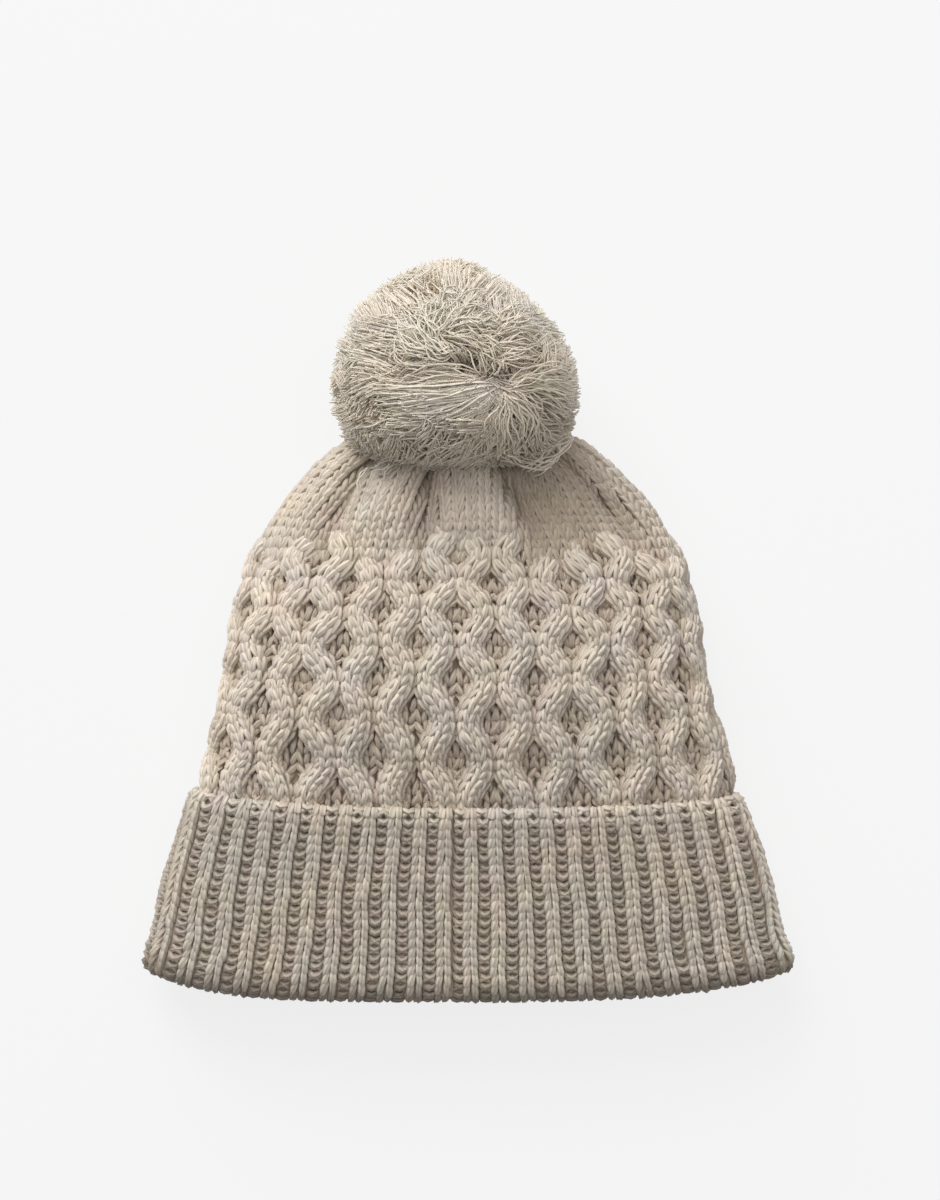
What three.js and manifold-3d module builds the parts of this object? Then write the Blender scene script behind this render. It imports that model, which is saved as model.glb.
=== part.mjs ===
import * as THREE from 'three';
import { mergeVertices } from 'three/addons/utils/BufferGeometryUtils.js';
import Module from 'manifold-3d';

// A knitted beanie with a turned-up ribbed cuff, a cabled crown and a yarn pompom, lying on its back.
// +Y runs from the hem to the pompom, +X to the right, +Z up from the surface to the front of the hat.
// Lengths are in millimetres, and y is counted from the hem until the whole hat is centred.

// Sizes of the hat's body, measured on the knit's own tube, under the ropes and the turned-up ply
const HAT_LENGTH = 212; // hem to the gathered top
const CUFF_HEIGHT = 74; // hem to the upper edge of the turned-up ply
const HEM_WIDTH = 238; // from side to side at the hem
const BODY_DEPTH = 56; // from back to front, where the lying crown is thickest
const WAIST = 0.42; // height of the side fold, as a share of the depth
const FRONT_SQUARENESS = 2.35; // 2 is an ellipse, more is boxier
const BACK_SQUARENESS = 3.3;
const REST_SQUASH = 0.6; // how far the knit is pressed flat on the surface

// The crown's knit
const KNIT_WALL = 3;
const ROPE_RISE = 3.8; // how far a cable rope stands out of the recessed cells
const LANE_PITCH = 16.4; // from rope to rope, round the crown
const CROSSING_STEP = 16.7; // first step from one crossing row to the next
const CROSSING_SHRINK = 1.06; // how much shorter each next step is
const CROSSINGS = 7;
const FIRST_CROSSING = 2; // height of the lowest crossing row over the cuff's edge
const FADING_STEPS = 1.5; // how many steps before the last one the ropes begin to sink
const FADED = 0.6; // how much of a rope's rise is gone at the last crossing
const PETAL_RISE = 6; // bulge of the gathers between two folds at the top
const GATHER_DIMPLE = 2.4; // how far the drawn-up middle sinks in

// The cuff's knit
const RIB_WALL = 3;
const RIB_RISE = 1.6;
const RIB_PITCH = 11.5;
const SLIT = 1.7; // space between the turned-up ply and the ply under it
const SEAM_DEPTH = 12; // how far the crown reaches down behind the turned-up ply
const HEM_RISE_LEFT = 13.5; // how far the hem climbs at the two side folds
const HEM_RISE_RIGHT = 10;
const EDGE_RISE_LEFT = 4; // the same for the turned-up ply's upper edge
const EDGE_RISE_RIGHT = 2;
const CORNER_SHARPNESS = 12; // how closely the hem's climb keeps to the corners
const CORNER_FADE = 1.5; // how fast it dies out up the cuff

// The pompom
const POMPOM_WIDTH = 97;
const POMPOM_DEPTH = 93;
const POMPOM_ABOVE = 48; // from its middle away from the crown
const POMPOM_BELOW = 34; // from its middle to the ends of the strands that hang over the crown
const POMPOM_OVERLAP = 13; // how far those strands hang over the crown's top
const POMPOM_SIDESTEP = -4.6;
const POMPOM_HEIGHT = 45; // of its middle above the surface
const POMPOM_SQUARENESS = 2.8; // of the side that is pressed against the crown
const POMPOM_BRUSH = [-0.8, -0.5, 0.3]; // the way its strands are brushed
const LOCK_REACH = 0.17; // how far a lock stands out of the head, as a share of the half size
const LOCK_WIDTH = 25;
const LOCK_PITCH = 25; // from lock to lock over the head
const LOCK_RAGGED = 0.03; // how much shorter than the longest the locks are on average
const FOLD_BRIDGED = 0.85; // how much of the crown's petals the pompom's underside follows into the folds

const GAP = 0.3; // left between two pieces that touch

const CREAM = { color: 0xcdbfa9, roughness: 0.95, metalness: 0 };
const OATMEAL = { color: 0xc4b59e, roughness: 0.95, metalness: 0 };
const PALE = { color: 0xdcd2bf, roughness: 0.97, metalness: 0 };

const CUFF_STACK = SLIT + RIB_WALL + RIB_RISE;
const CROWN_LENGTH = HAT_LENGTH - CUFF_HEIGHT;
const HALF_HEM = HEM_WIDTH / 2;

// Sections of the knit's tube. "at" is a share of the cuff's height, "left" and "right" of half the hem's
// width, "depth" and "rise" of the body's depth, and "stack" of the turned-up ply that the tube lies on.
const CUFF_SECTIONS = [
  { at: 0.00, left: 1.000, right: 1.000, depth: 0.48, rise: 0, stack: 1 },
  { at: 0.25, left: 0.962, right: 0.962, depth: 0.52, rise: 0, stack: 1 },
  { at: 0.50, left: 0.935, right: 0.932, depth: 0.57, rise: 0, stack: 1 },
  { at: 0.75, left: 0.897, right: 0.896, depth: 0.62, rise: 0, stack: 1 },
];

// The same for the crown. "at" is a share of the crown's length, and "petal" of the gathers' bulge.
const CROWN_SECTIONS = [
  { at: 0.000, left: 0.856, right: 0.838, depth: 0.69, rise: 0.000, stack: 1.00, petal: 0.0 },
  { at: 0.102, left: 0.822, right: 0.815, depth: 0.80, rise: 0.000, stack: 0.45, petal: 0.0 },
  { at: 0.179, left: 0.800, right: 0.796, depth: 0.90, rise: 0.000, stack: 0.12, petal: 0.0 },
  { at: 0.256, left: 0.784, right: 0.766, depth: 0.96, rise: 0.000, stack: 0.00, petal: 0.0 },
  { at: 0.333, left: 0.755, right: 0.744, depth: 0.99, rise: 0.000, stack: 0.00, petal: 0.0 },
  { at: 0.488, left: 0.729, right: 0.716, depth: 1.00, rise: 0.000, stack: 0.00, petal: 0.0 },
  { at: 0.642, left: 0.672, right: 0.666, depth: 0.97, rise: 0.000, stack: 0.00, petal: 0.0 },
  { at: 0.719, left: 0.638, right: 0.620, depth: 0.93, rise: 0.005, stack: 0.00, petal: 0.4 },
  { at: 0.796, left: 0.560, right: 0.543, depth: 0.87, rise: 0.030, stack: 0.00, petal: 1.0 },
  { at: 0.873, left: 0.491, right: 0.466, depth: 0.77, rise: 0.095, stack: 0.00, petal: 1.0 },
  { at: 0.912, left: 0.447, right: 0.422, depth: 0.69, rise: 0.150, stack: 0.00, petal: 1.0 },
  { at: 0.950, left: 0.388, right: 0.372, depth: 0.58, rise: 0.235, stack: 0.00, petal: 1.0 },
  { at: 0.975, left: 0.320, right: 0.304, depth: 0.46, rise: 0.330, stack: 0.00, petal: 0.9 },
  { at: 0.992, left: 0.225, right: 0.207, depth: 0.32, rise: 0.430, stack: 0.00, petal: 0.7 },
  { at: 1.000, left: 0.115, right: 0.097, depth: 0.16, rise: 0.545, stack: 0.00, petal: 0.3 },
];
const FIRST_GATHER = 7; // the row of the table where the cables end and the gathers begin

// Where the deep folds of the gathered top lie round the crown: 0 is the middle of the front,
// a positive share is to the right of it, and half is the middle of the back.
const FOLDS = [-0.47, -0.37, -0.26, -0.150, -0.045, 0.070, 0.185, 0.27, 0.37, 0.46];

const BODY = [
  ...CUFF_SECTIONS.map((row) => ({ ...row, petal: 0, y: row.at * CUFF_HEIGHT })),
  ...CROWN_SECTIONS.map((row) => ({ ...row, y: CUFF_HEIGHT + row.at * CROWN_LENGTH })),
];

// The value of one column of the body's table at a height, on a smooth curve through its rows.
function column(name, y) {
  const last = BODY.length - 2;
  let i = BODY.findIndex((row) => row.y > y) - 1;
  if (i < 0) i = y <= BODY[0].y ? 0 : last;
  const slope = (k) => {
    const a = BODY[Math.max(k - 1, 0)];
    const b = BODY[Math.min(k + 1, last + 1)];
    return (b[name] - a[name]) / (b.y - a.y);
  };
  const [a, b] = [BODY[i], BODY[i + 1]];
  const width = b.y - a.y;
  const t = THREE.MathUtils.clamp((y - a.y) / width, 0, 1);
  const [t2, t3] = [t * t, t * t * t];
  return (2 * t3 - 3 * t2 + 1) * a[name] + (t3 - 2 * t2 + t) * width * slope(i)
    + (3 * t2 - 2 * t3) * b[name] + (t3 - t2) * width * slope(i + 1);
}

// The closed section of the knit's tube at a height. at(share, out) gives the point that lies that share
// of the way round from the middle of the front, moved out by a length and pressed flat on the surface.
const SECTION_STEPS = 480;
function section(y) {
  const depth = column('depth', y) * BODY_DEPTH;
  const bottom = column('rise', y) * BODY_DEPTH + column('stack', y) * CUFF_STACK - REST_SQUASH;
  const middle = bottom + WAIST * depth;
  const [left, right] = [HALF_HEM * column('left', y), HALF_HEM * column('right', y)];
  const points = [];
  for (let i = 0; i < SECTION_STEPS; i++) {
    const turn = Math.PI / 2 - (2 * Math.PI * i) / SECTION_STEPS;
    const [c, s] = [Math.cos(turn), Math.sin(turn)];
    const half = c < 0 ? left : right;
    const tall = (s < 0 ? WAIST : 1 - WAIST) * depth;
    const power = 2 / (s < 0 ? BACK_SQUARENESS : FRONT_SQUARENESS);
    const x = Math.sign(c) * half * Math.abs(c) ** power;
    const z = middle + Math.sign(s) * tall * Math.abs(s) ** power;
    points.push([x, z]);
  }
  const run = [0];
  for (let i = 0; i < SECTION_STEPS; i++) {
    const [a, b] = [points[i], points[(i + 1) % SECTION_STEPS]];
    run.push(run[i] + Math.hypot(b[0] - a[0], b[1] - a[1]));
  }
  const girth = run[SECTION_STEPS];
  const pick = (i) => points[(i + SECTION_STEPS) % SECTION_STEPS];
  const normal = (i) => {
    const [a, b] = [pick(i - 1), pick(i + 1)];
    const length = Math.hypot(b[0] - a[0], b[1] - a[1]);
    return [(a[1] - b[1]) / length, (b[0] - a[0]) / length];
  };
  const at = (share, out) => {
    const want = THREE.MathUtils.euclideanModulo(share, 1) * girth;
    let [low, high] = [0, SECTION_STEPS];
    while (high - low > 1) {
      const half = (low + high) >> 1;
      if (run[half] <= want) low = half;
      else high = half;
    }
    const t = (want - run[low]) / (run[high] - run[low]);
    const [a, b, m, n] = [pick(low), pick(high), normal(low), normal(high)];
    const x = a[0] + (b[0] - a[0]) * t + (m[0] + (n[0] - m[0]) * t) * out;
    const z = a[1] + (b[1] - a[1]) * t + (m[1] + (n[1] - m[1]) * t) * out;
    return { x, z: Math.max(z, 0), side: x / (x < 0 ? left : right) };
  };
  return { at, girth };
}

// How far a point of the hem or of the cuff's edge climbs towards the side folds.
function climb(y, side) {
  const up = THREE.MathUtils.clamp(y / CUFF_HEIGHT, 0, 1);
  const over = THREE.MathUtils.clamp((y - CUFF_HEIGHT) / CUFF_HEIGHT, 0, 1);
  const hemRise = side < 0 ? HEM_RISE_LEFT : HEM_RISE_RIGHT;
  const corner = hemRise * Math.abs(side) ** CORNER_SHARPNESS * (1 - up) ** CORNER_FADE;
  const edge = (side < 0 ? EDGE_RISE_LEFT : EDGE_RISE_RIGHT) * side * side * up * (1 - over);
  return corner + edge;
}

// One ring of points round the tube at a height, at the given shares and lengths out of the knit.
function ring(y, shares, out) {
  const cut = section(y);
  return shares.map((share, i) => {
    const { x, z, side } = cut.at(share, typeof out === 'number' ? out : out[i]);
    return [x, y + climb(y, THREE.MathUtils.clamp(side, -1, 1)), z];
  });
}

// Gathers rings of points into one mesh. Each bridge joins a ring to the next, which has as many
// points, half as many or twice as many, and a fan closes a ring on one point.
class Skin {
  constructor() {
    this.points = [];
    this.faces = [];
  }

  add(points) {
    const first = this.points.length;
    this.points.push(...points);
    return { first, count: points.length, at: (i) => first + (i % points.length) };
  }

  bridge(a, b) {
    const n = Math.min(a.count, b.count);
    for (let i = 0; i < n; i++) {
      if (a.count === b.count) {
        this.faces.push([a.at(i), a.at(i + 1), b.at(i + 1)], [a.at(i), b.at(i + 1), b.at(i)]);
      } else if (a.count > b.count) {
        this.faces.push([a.at(2 * i), a.at(2 * i + 1), b.at(i)]);
        this.faces.push([a.at(2 * i + 1), a.at(2 * i + 2), b.at(i + 1)]);
        this.faces.push([a.at(2 * i + 1), b.at(i + 1), b.at(i)]);
      } else {
        this.faces.push([a.at(i), b.at(2 * i + 1), b.at(2 * i)]);
        this.faces.push([a.at(i + 1), b.at(2 * i + 2), b.at(2 * i + 1)]);
        this.faces.push([a.at(i), a.at(i + 1), b.at(2 * i + 1)]);
      }
    }
  }

  fan(a, point, opens) {
    const tip = this.add([point]);
    for (let i = 0; i < a.count; i++) {
      this.faces.push(opens ? [tip.at(0), a.at(i + 1), a.at(i)] : [a.at(i), a.at(i + 1), tip.at(0)]);
    }
  }

  geometry() {
    const made = new THREE.BufferGeometry();
    made.setAttribute('position', new THREE.Float32BufferAttribute(this.points.flat(), 3));
    made.setIndex(this.faces.flat());
    made.computeVertexNormals();
    return made;
  }
}

// The middle of a ring, which closes it
function middleOf(points) {
  return [0, 1, 2].map((k) => points.reduce((sum, p) => sum + p[k], 0) / points.length);
}

// A share of the way round, as one between minus a half and a half
function aroundHalf(share) {
  return THREE.MathUtils.euclideanModulo(share + 0.5, 1) - 0.5;
}

// How far the gathers bulge at a share of the way round, from 0 in a fold to 1 between two
function petal(share) {
  const here = aroundHalf(share);
  const all = [FOLDS[FOLDS.length - 1] - 1, ...FOLDS, FOLDS[0] + 1];
  const next = all.findIndex((fold) => fold > here);
  const [low, high] = [all[next - 1], all[next]];
  return Math.sqrt(Math.max(Math.sin((Math.PI * (here - low)) / (high - low)), 0));
}

// The crown: cable ropes that sway towards and away from each other over a plain knit shell, then
// plain gathers drawn up to one point. Its lower edge stands on the cuff's inner ply.
const LANES = 2 * Math.round(section(CUFF_HEIGHT + CROWN_LENGTH / 3).girth / (2 * LANE_PITCH));
const LANE_SHIFT = 0.22; // turns the lanes so that the photographed rope lies in the middle
const ROPE_PROFILE = [
  { across: -0.25, high: 0 },
  { across: -0.14, high: 1 },
  { across: 0.14, high: 1 },
  { across: 0.25, high: 0 },
];
const SWAY = 0.205; // of a rope to each side, as a share of the lane
const ROWS_PER_STEP = 3;
const INNER_STOPS = [2 / 3, 1 / 3]; // heights of the inside's rings, as shares of the cables' height

const laneShares = (spots) => {
  const shares = [];
  for (let lane = 0; lane < LANES; lane++) {
    for (const spot of spots) shares.push((lane + LANE_SHIFT + spot(lane)) / LANES);
  }
  return shares;
};
const PLAIN_SHARES = laneShares([() => -0.25, () => 0.25]);

// The plain columns over the gathers, with the nearest one moved into each fold
const GATHER_SHARES = PLAIN_SHARES.map((share) => {
  const column = 1 / PLAIN_SHARES.length;
  const into = FOLDS.find((fold) => Math.abs(aroundHalf(fold - share)) < column / 2);
  return into === undefined ? share : into;
});

// The height of a crossing row, counted in steps up from the cuff's edge
function crossingHeight(step) {
  return CUFF_HEIGHT + FIRST_CROSSING + CROSSING_STEP * step - (CROSSING_SHRINK * step * step) / 2;
}

function ropeRing(y, step, rise) {
  const turn = Math.cos(Math.PI * step);
  const spots = ROPE_PROFILE.map(({ across }) => (lane) => across + (lane % 2 ? SWAY : -SWAY) * turn);
  const out = laneShares(spots).map((_, i) => ROPE_PROFILE[i % ROPE_PROFILE.length].high * rise);
  return ring(y, laneShares(spots), out);
}

// One ring of the gathers, moved out of the knit by one length and up by another. No fold in it is
// deeper than the least share of the petals' bulge.
function gatherRing(row, out, up, least = 0) {
  const bulge = row.petal * PETAL_RISE;
  const outs = GATHER_SHARES.map((share) => bulge * Math.max(petal(share), least) + out);
  return ring(row.y, GATHER_SHARES, outs).map(([x, y, z]) => [x, y + up, z]);
}

function makeCrown() {
  const skin = new Skin();
  const foot = CUFF_HEIGHT - SEAM_DEPTH + GAP;
  const gathers = BODY.slice(CUFF_SECTIONS.length + FIRST_GATHER);
  const top = gathers[gathers.length - 1];
  // inside, from the drawn-up middle down to the foot
  const inner = gathers.slice(0, -2).reverse().map((row) => gatherRing(row, -KNIT_WALL, -KNIT_WALL / 2));
  const lowest = gathers[0].y;
  for (const share of INNER_STOPS) {
    inner.push(ring(foot + (lowest - foot) * share, PLAIN_SHARES, -KNIT_WALL));
  }
  inner.push(ring(foot, PLAIN_SHARES, -KNIT_WALL));
  const innerTip = middleOf(inner[0]);
  innerTip[1] = top.y - GATHER_DIMPLE - KNIT_WALL;

  // outside, from the foot up the ropes and the gathers
  const outer = [ropeRing(foot, 0, 0)];
  for (let i = -1; i <= CROSSINGS * ROWS_PER_STEP - 1; i++) {
    const step = i / ROWS_PER_STEP;
    const y = crossingHeight(step);
    const [hidden, shown] = [CUFF_HEIGHT - SEAM_DEPTH / 3, CUFF_HEIGHT + SEAM_DEPTH / 2];
    const emerging = THREE.MathUtils.smoothstep(y, hidden, shown);
    const fading = 1 - FADED * THREE.MathUtils.smoothstep(step, CROSSINGS - FADING_STEPS, CROSSINGS);
    outer.push(ropeRing(y, step, ROPE_RISE * emerging * fading));
  }
  for (const row of gathers) outer.push(gatherRing(row, 0, 0));
  const outerTip = middleOf(outer[outer.length - 1]);
  outerTip[1] = top.y - GATHER_DIMPLE;

  const rings = [...inner, ...outer].map((points) => skin.add(points));
  skin.fan(rings[0], innerTip, true);
  for (let i = 1; i < rings.length; i++) skin.bridge(rings[i - 1], rings[i]);
  skin.fan(rings[rings.length - 1], outerTip, false);
  return skin.geometry();
}

// The cuff: one ribbed ply that runs down inside to the hem, folds there and comes back up outside.
const RIBS = Math.round(section(0).girth / RIB_PITCH);
const RIB_SHIFT = 0.12;
const RIB_PROFILE = [
  { across: -0.31, high: 0 },
  { across: -0.2, high: 1 },
  { across: 0.2, high: 1 },
  { across: 0.31, high: 0 },
];

// The folded ply from the hem up outside, then down and up inside. A row's height is a share of the
// cuff's height, plus "walls" of the rib's wall, less "seams" of the seam's depth. Its length out of
// the knit is "slits" of the slit plus "out" of the rib's wall, and "rib" is a share of the ribs' rise.
const PLY_OUTSIDE = [
  { up: 0.0, walls: 0.0, slits: 0.5, out: 0.0, rib: 0.6 },
  { up: 0.0, walls: 1.0, slits: 1.0, out: 0.7, rib: 0.9 },
  { up: 0.5, walls: 0.0, slits: 1.0, out: 1.0, rib: 1.0 },
  { up: 1.0, walls: -0.5, slits: 1.0, out: 1.0, rib: 1.0 },
  { up: 1.0, walls: 0.0, slits: 1.0, out: 0.6, rib: 0.6 },
];
const PLY_INSIDE = [
  { up: 1.0, walls: 0.0, slits: 1.0, out: 0.2 },
  { up: 0.0, walls: 1.4, slits: 1.0, out: 0.0 },
  { up: 0.0, walls: 1.4, slits: 0.0, out: 0.0 },
  { up: 1.0, walls: 0.0, slits: 0.0, out: 0.0, seams: 1 },
  { up: 1.0, walls: 0.0, slits: 0.0, out: -1.0, seams: 1 },
  { up: 0.0, walls: 0.9, slits: 0.0, out: -0.7 },
];

function ribShares(spots) {
  const shares = [];
  for (let rib = 0; rib < RIBS; rib++) {
    for (const spot of spots) shares.push((rib + RIB_SHIFT + spot) / RIBS);
  }
  return shares;
}

function makeCuff() {
  const skin = new Skin();
  const height = ({ up, walls, seams = 0 }) => up * CUFF_HEIGHT + walls * RIB_WALL - seams * SEAM_DEPTH;
  const off = ({ slits, out }) => slits * SLIT + out * RIB_WALL;
  const fine = ribShares(RIB_PROFILE.map(({ across }) => across));
  const coarse = ribShares([-0.25, 0.25]);
  const rings = PLY_OUTSIDE.map((row) => ring(height(row), fine, fine.map(
    (_, i) => off(row) + RIB_RISE * row.rib * RIB_PROFILE[i % RIB_PROFILE.length].high)));
  for (const row of PLY_INSIDE) rings.push(ring(height(row), coarse, off(row)));
  const placed = rings.map((points) => skin.add(points));
  placed.forEach((from, i) => skin.bridge(from, placed[(i + 1) % placed.length]));
  return skin.geometry();
}

// Closed meshes to solids that can be joined and cut, and back
const SAME_POINT = 1e-4;
const wasm = await Module();
wasm.setup();

function toSolid(geometry) {
  const bare = geometry.clone();
  bare.deleteAttribute('normal');
  bare.deleteAttribute('uv');
  const merged = mergeVertices(bare, SAME_POINT);
  const mesh = new wasm.Mesh({
    numProp: 3,
    vertProperties: new Float32Array(merged.attributes.position.array),
    triVerts: new Uint32Array(merged.index.array),
  });
  return new wasm.Manifold(mesh);
}

function toGeometry(solid) {
  const { vertProperties, triVerts } = solid.getMesh();
  const made = new THREE.BufferGeometry();
  made.setAttribute('position', new THREE.BufferAttribute(vertProperties, 3));
  made.setIndex(new THREE.BufferAttribute(triVerts, 1));
  made.computeVertexNormals();
  return made;
}

// The pompom: locks of yarn fused to a round head, parted where the crown's top presses in and
// flattened where they rest on the surface.
const LOCK_SIDES = 5;
const HEAD_SIDES = 16;
const HEAD_ROWS = 9;

// Where a lock runs: its distance from the pompom's middle is "head" of the head's share plus "tip"
// of the lock's own reach, "swept" is how far it has turned with the brushing, and "width" a share
// of the lock's width.
const LOCK_STOPS = [
  { head: 0.6, tip: 0.00, swept: 0.00, width: 0.6 },
  { head: 1.0, tip: 0.00, swept: 0.00, width: 1.0 },
  { head: 0.0, tip: 0.90, swept: 0.10, width: 0.7 },
  { head: 0.0, tip: 0.98, swept: 0.16, width: 0.0 },
];

// A lock is a tapered tube along a few points, with a width at each and a pointed end.
function lockGeometry(path, widths) {
  const skin = new Skin();
  const rings = path.slice(0, -1).map((point, i) => {
    const along = path[i + 1].clone().sub(point).normalize();
    const turn = new THREE.Quaternion().setFromUnitVectors(new THREE.Vector3(0, 0, 1), along);
    const points = [];
    for (let side = 0; side < LOCK_SIDES; side++) {
      const angle = (2 * Math.PI * side) / LOCK_SIDES;
      const spoke = new THREE.Vector3(Math.cos(angle), Math.sin(angle), 0).multiplyScalar(widths[i] / 2);
      points.push(spoke.applyQuaternion(turn).add(point).toArray());
    }
    return skin.add(points);
  });
  skin.fan(rings[0], path[0].toArray(), true);
  for (let i = 1; i < rings.length; i++) skin.bridge(rings[i - 1], rings[i]);
  skin.fan(rings[rings.length - 1], path[path.length - 1].toArray(), false);
  return skin.geometry();
}

function makePompom() {
  const above = new THREE.Vector3(POMPOM_WIDTH / 2, POMPOM_ABOVE, POMPOM_DEPTH / 2);
  const below = new THREE.Vector3(POMPOM_WIDTH / 2, POMPOM_BELOW, POMPOM_DEPTH / 2);
  const centreUp = HAT_LENGTH - POMPOM_OVERLAP + POMPOM_BELOW;
  const centre = new THREE.Vector3(POMPOM_SIDESTEP, centreUp, POMPOM_HEIGHT);

  // the point of the whole form that lies one way from its middle, or a share of the way to it
  const onForm = (way, share) => {
    const power = way.y < 0 ? POMPOM_SQUARENESS : 2;
    const size = way.toArray().reduce((sum, part) => sum + Math.abs(part) ** power, 0) ** (1 / power);
    return way.clone().multiplyScalar(share / size).multiply(way.y < 0 ? below : above).add(centre);
  };

  const headShare = 1 - LOCK_REACH;
  const head = new THREE.SphereGeometry(1, HEAD_SIDES, HEAD_ROWS);
  const ways = head.attributes.position;
  for (let i = 0; i < ways.count; i++) {
    const point = onForm(new THREE.Vector3().fromBufferAttribute(ways, i), headShare);
    ways.setXYZ(i, point.x, point.y, point.z);
  }
  let solid = toSolid(head);

  // locks spread evenly over the head, each swept a little to one side like brushed strands
  const mean = (POMPOM_WIDTH + POMPOM_DEPTH + POMPOM_ABOVE + POMPOM_BELOW) / 6;
  const locks = Math.round((4 * Math.PI * mean * mean) / (LOCK_PITCH * LOCK_PITCH));
  const golden = Math.PI * (3 - Math.sqrt(5));
  const brushed = new THREE.Vector3(...POMPOM_BRUSH);
  const widths = LOCK_STOPS.map(({ width }) => width * LOCK_WIDTH);
  for (let i = 0; i < locks; i++) {
    const level = 1 - (2 * i + 1) / locks;
    const radius = Math.sqrt(1 - level * level);
    const out = new THREE.Vector3(radius * Math.cos(golden * i), level, radius * Math.sin(golden * i));
    const sweep = brushed.clone().addScaledVector(out, -brushed.dot(out));
    const reach = 1 - LOCK_RAGGED * (1 + Math.sin(golden * i));
    const path = LOCK_STOPS.map(({ head: inner, tip, swept }) => {
      const way = out.clone().addScaledVector(sweep, swept).normalize();
      return onForm(way, inner * headShare + tip * reach);
    });
    solid = solid.add(toSolid(lockGeometry(path, widths)));
  }

  // the crown's top, a little larger, is cut out of it, and so is all that lies below the surface
  const seat = new Skin();
  const gathers = BODY.slice(CUFF_SECTIONS.length + FIRST_GATHER);
  const rings = gathers.map((row) => gatherRing(row, GAP, GAP, FOLD_BRIDGED));
  const placed = rings.map((points) => seat.add(points));
  seat.fan(placed[0], middleOf(rings[0]), true);
  for (let i = 1; i < placed.length; i++) seat.bridge(placed[i - 1], placed[i]);
  seat.fan(placed[placed.length - 1], middleOf(rings[rings.length - 1]), false);
  const slab = new THREE.BoxGeometry(2 * POMPOM_WIDTH, 4 * POMPOM_ABOVE, POMPOM_DEPTH);
  slab.translate(centre.x, centre.y, -POMPOM_DEPTH / 2);
  const cut = solid.subtract(toSolid(seat.geometry())).subtract(toSolid(slab));
  const pieces = cut.decompose().sort((a, b) => b.volume() - a.volume());
  return toGeometry(pieces[0]); // the rest are crumbs of lock tips behind the crown's top
}

const group = new THREE.Group();
function place(name, geometry, finish) {
  const mesh = new THREE.Mesh(geometry, new THREE.MeshStandardMaterial(finish));
  mesh.name = name;
  group.add(mesh);
}
place('crown', makeCrown(), CREAM);
place('cuff', makeCuff(), OATMEAL);
place('pompom', makePompom(), PALE);

// The origin is on the surface, under the middle of the whole hat
const middle = new THREE.Box3().setFromObject(group, true).getCenter(new THREE.Vector3());
group.position.set(-middle.x, -middle.y, 0);
group.updateMatrixWorld(true);

export default group;
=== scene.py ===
# %% [markdown]
# A cable-knit beanie, stitch by stitch.
# The hat lies on its back on a pale table, seen from straight above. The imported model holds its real
# size; this lesson dresses it. Everything is worked out with numpy as whole arrays, in millimetres,
# and only the finished meshes are turned into metres.

# %% Load the frame
import math
import bpy
import numpy as np
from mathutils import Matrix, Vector


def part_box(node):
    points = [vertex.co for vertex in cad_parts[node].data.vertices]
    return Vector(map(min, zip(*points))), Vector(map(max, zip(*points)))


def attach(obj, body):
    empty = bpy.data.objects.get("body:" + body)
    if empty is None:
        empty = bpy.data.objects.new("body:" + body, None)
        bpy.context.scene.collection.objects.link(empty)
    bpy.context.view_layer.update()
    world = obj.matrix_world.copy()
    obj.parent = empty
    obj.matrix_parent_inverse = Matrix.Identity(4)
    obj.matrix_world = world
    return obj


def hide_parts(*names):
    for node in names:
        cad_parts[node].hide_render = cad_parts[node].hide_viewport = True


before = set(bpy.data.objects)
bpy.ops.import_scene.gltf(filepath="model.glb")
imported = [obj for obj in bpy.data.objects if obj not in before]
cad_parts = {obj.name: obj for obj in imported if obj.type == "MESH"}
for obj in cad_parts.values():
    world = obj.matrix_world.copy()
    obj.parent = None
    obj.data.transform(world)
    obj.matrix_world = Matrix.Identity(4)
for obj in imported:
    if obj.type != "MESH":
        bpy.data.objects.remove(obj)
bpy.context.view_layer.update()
MM = 0.001
rng = np.random.default_rng(7)
cuff_low, cuff_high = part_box("cuff")
origin = np.array([(cuff_low.x + cuff_high.x) / 2, cuff_low.y, 0.0]) / MM

# %% [markdown]
# The hat's body is one soft tube. A few sections, each a squarish oval, say how wide and how deep it
# is on the way from the hem to the gathered top. A smooth curve through the sections gives a fine
# grid of points, and every stitch finds its place on that grid by two numbers: how far it is along
# the tube, and which share of the way round it lies.

# %% Sizes of the body
# they are the frame's, but the hem rises less and more softly at its corners, and the tube is a little
# slimmer, because the stitches stand out from it
HAT_LENGTH, CUFF_HEIGHT, HEM_WIDTH, BODY_DEPTH = 212.0, 74.0, 238.0, 56.0
WAIST, FRONT_SQUARENESS, BACK_SQUARENESS, REST_SQUASH = 0.42, 2.35, 3.3, 0.6
KNIT_WALL, ROPE_RISE, PETAL_RISE, GATHER_DIMPLE = 3.0, 3.8, 6.0, 2.4
RIB_WALL, RIB_RISE, SLIT, SEAM_DEPTH = 3.0, 1.6, 1.7, 12.0
LANES, LANE_SHIFT, RIBS, RIB_SHIFT = 28, 0.22, 46, 0.12
CROSSING_STEP, CROSSING_SHRINK, CROSSINGS = 16.7, 1.06, 7
# left and right: the hem's rise at its corners, how sharp these are, and the upper edge's rise
HEM_RISE, CORNER_SHARPNESS, EDGE_RISE, CORNER_FADE = (9.5, 9.5), (5.0, 3.2), (4.0, 2.0), 1.5
CUFF_STACK = SLIT + RIB_WALL + RIB_RISE
CROWN_LENGTH = HAT_LENGTH - CUFF_HEIGHT

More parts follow.
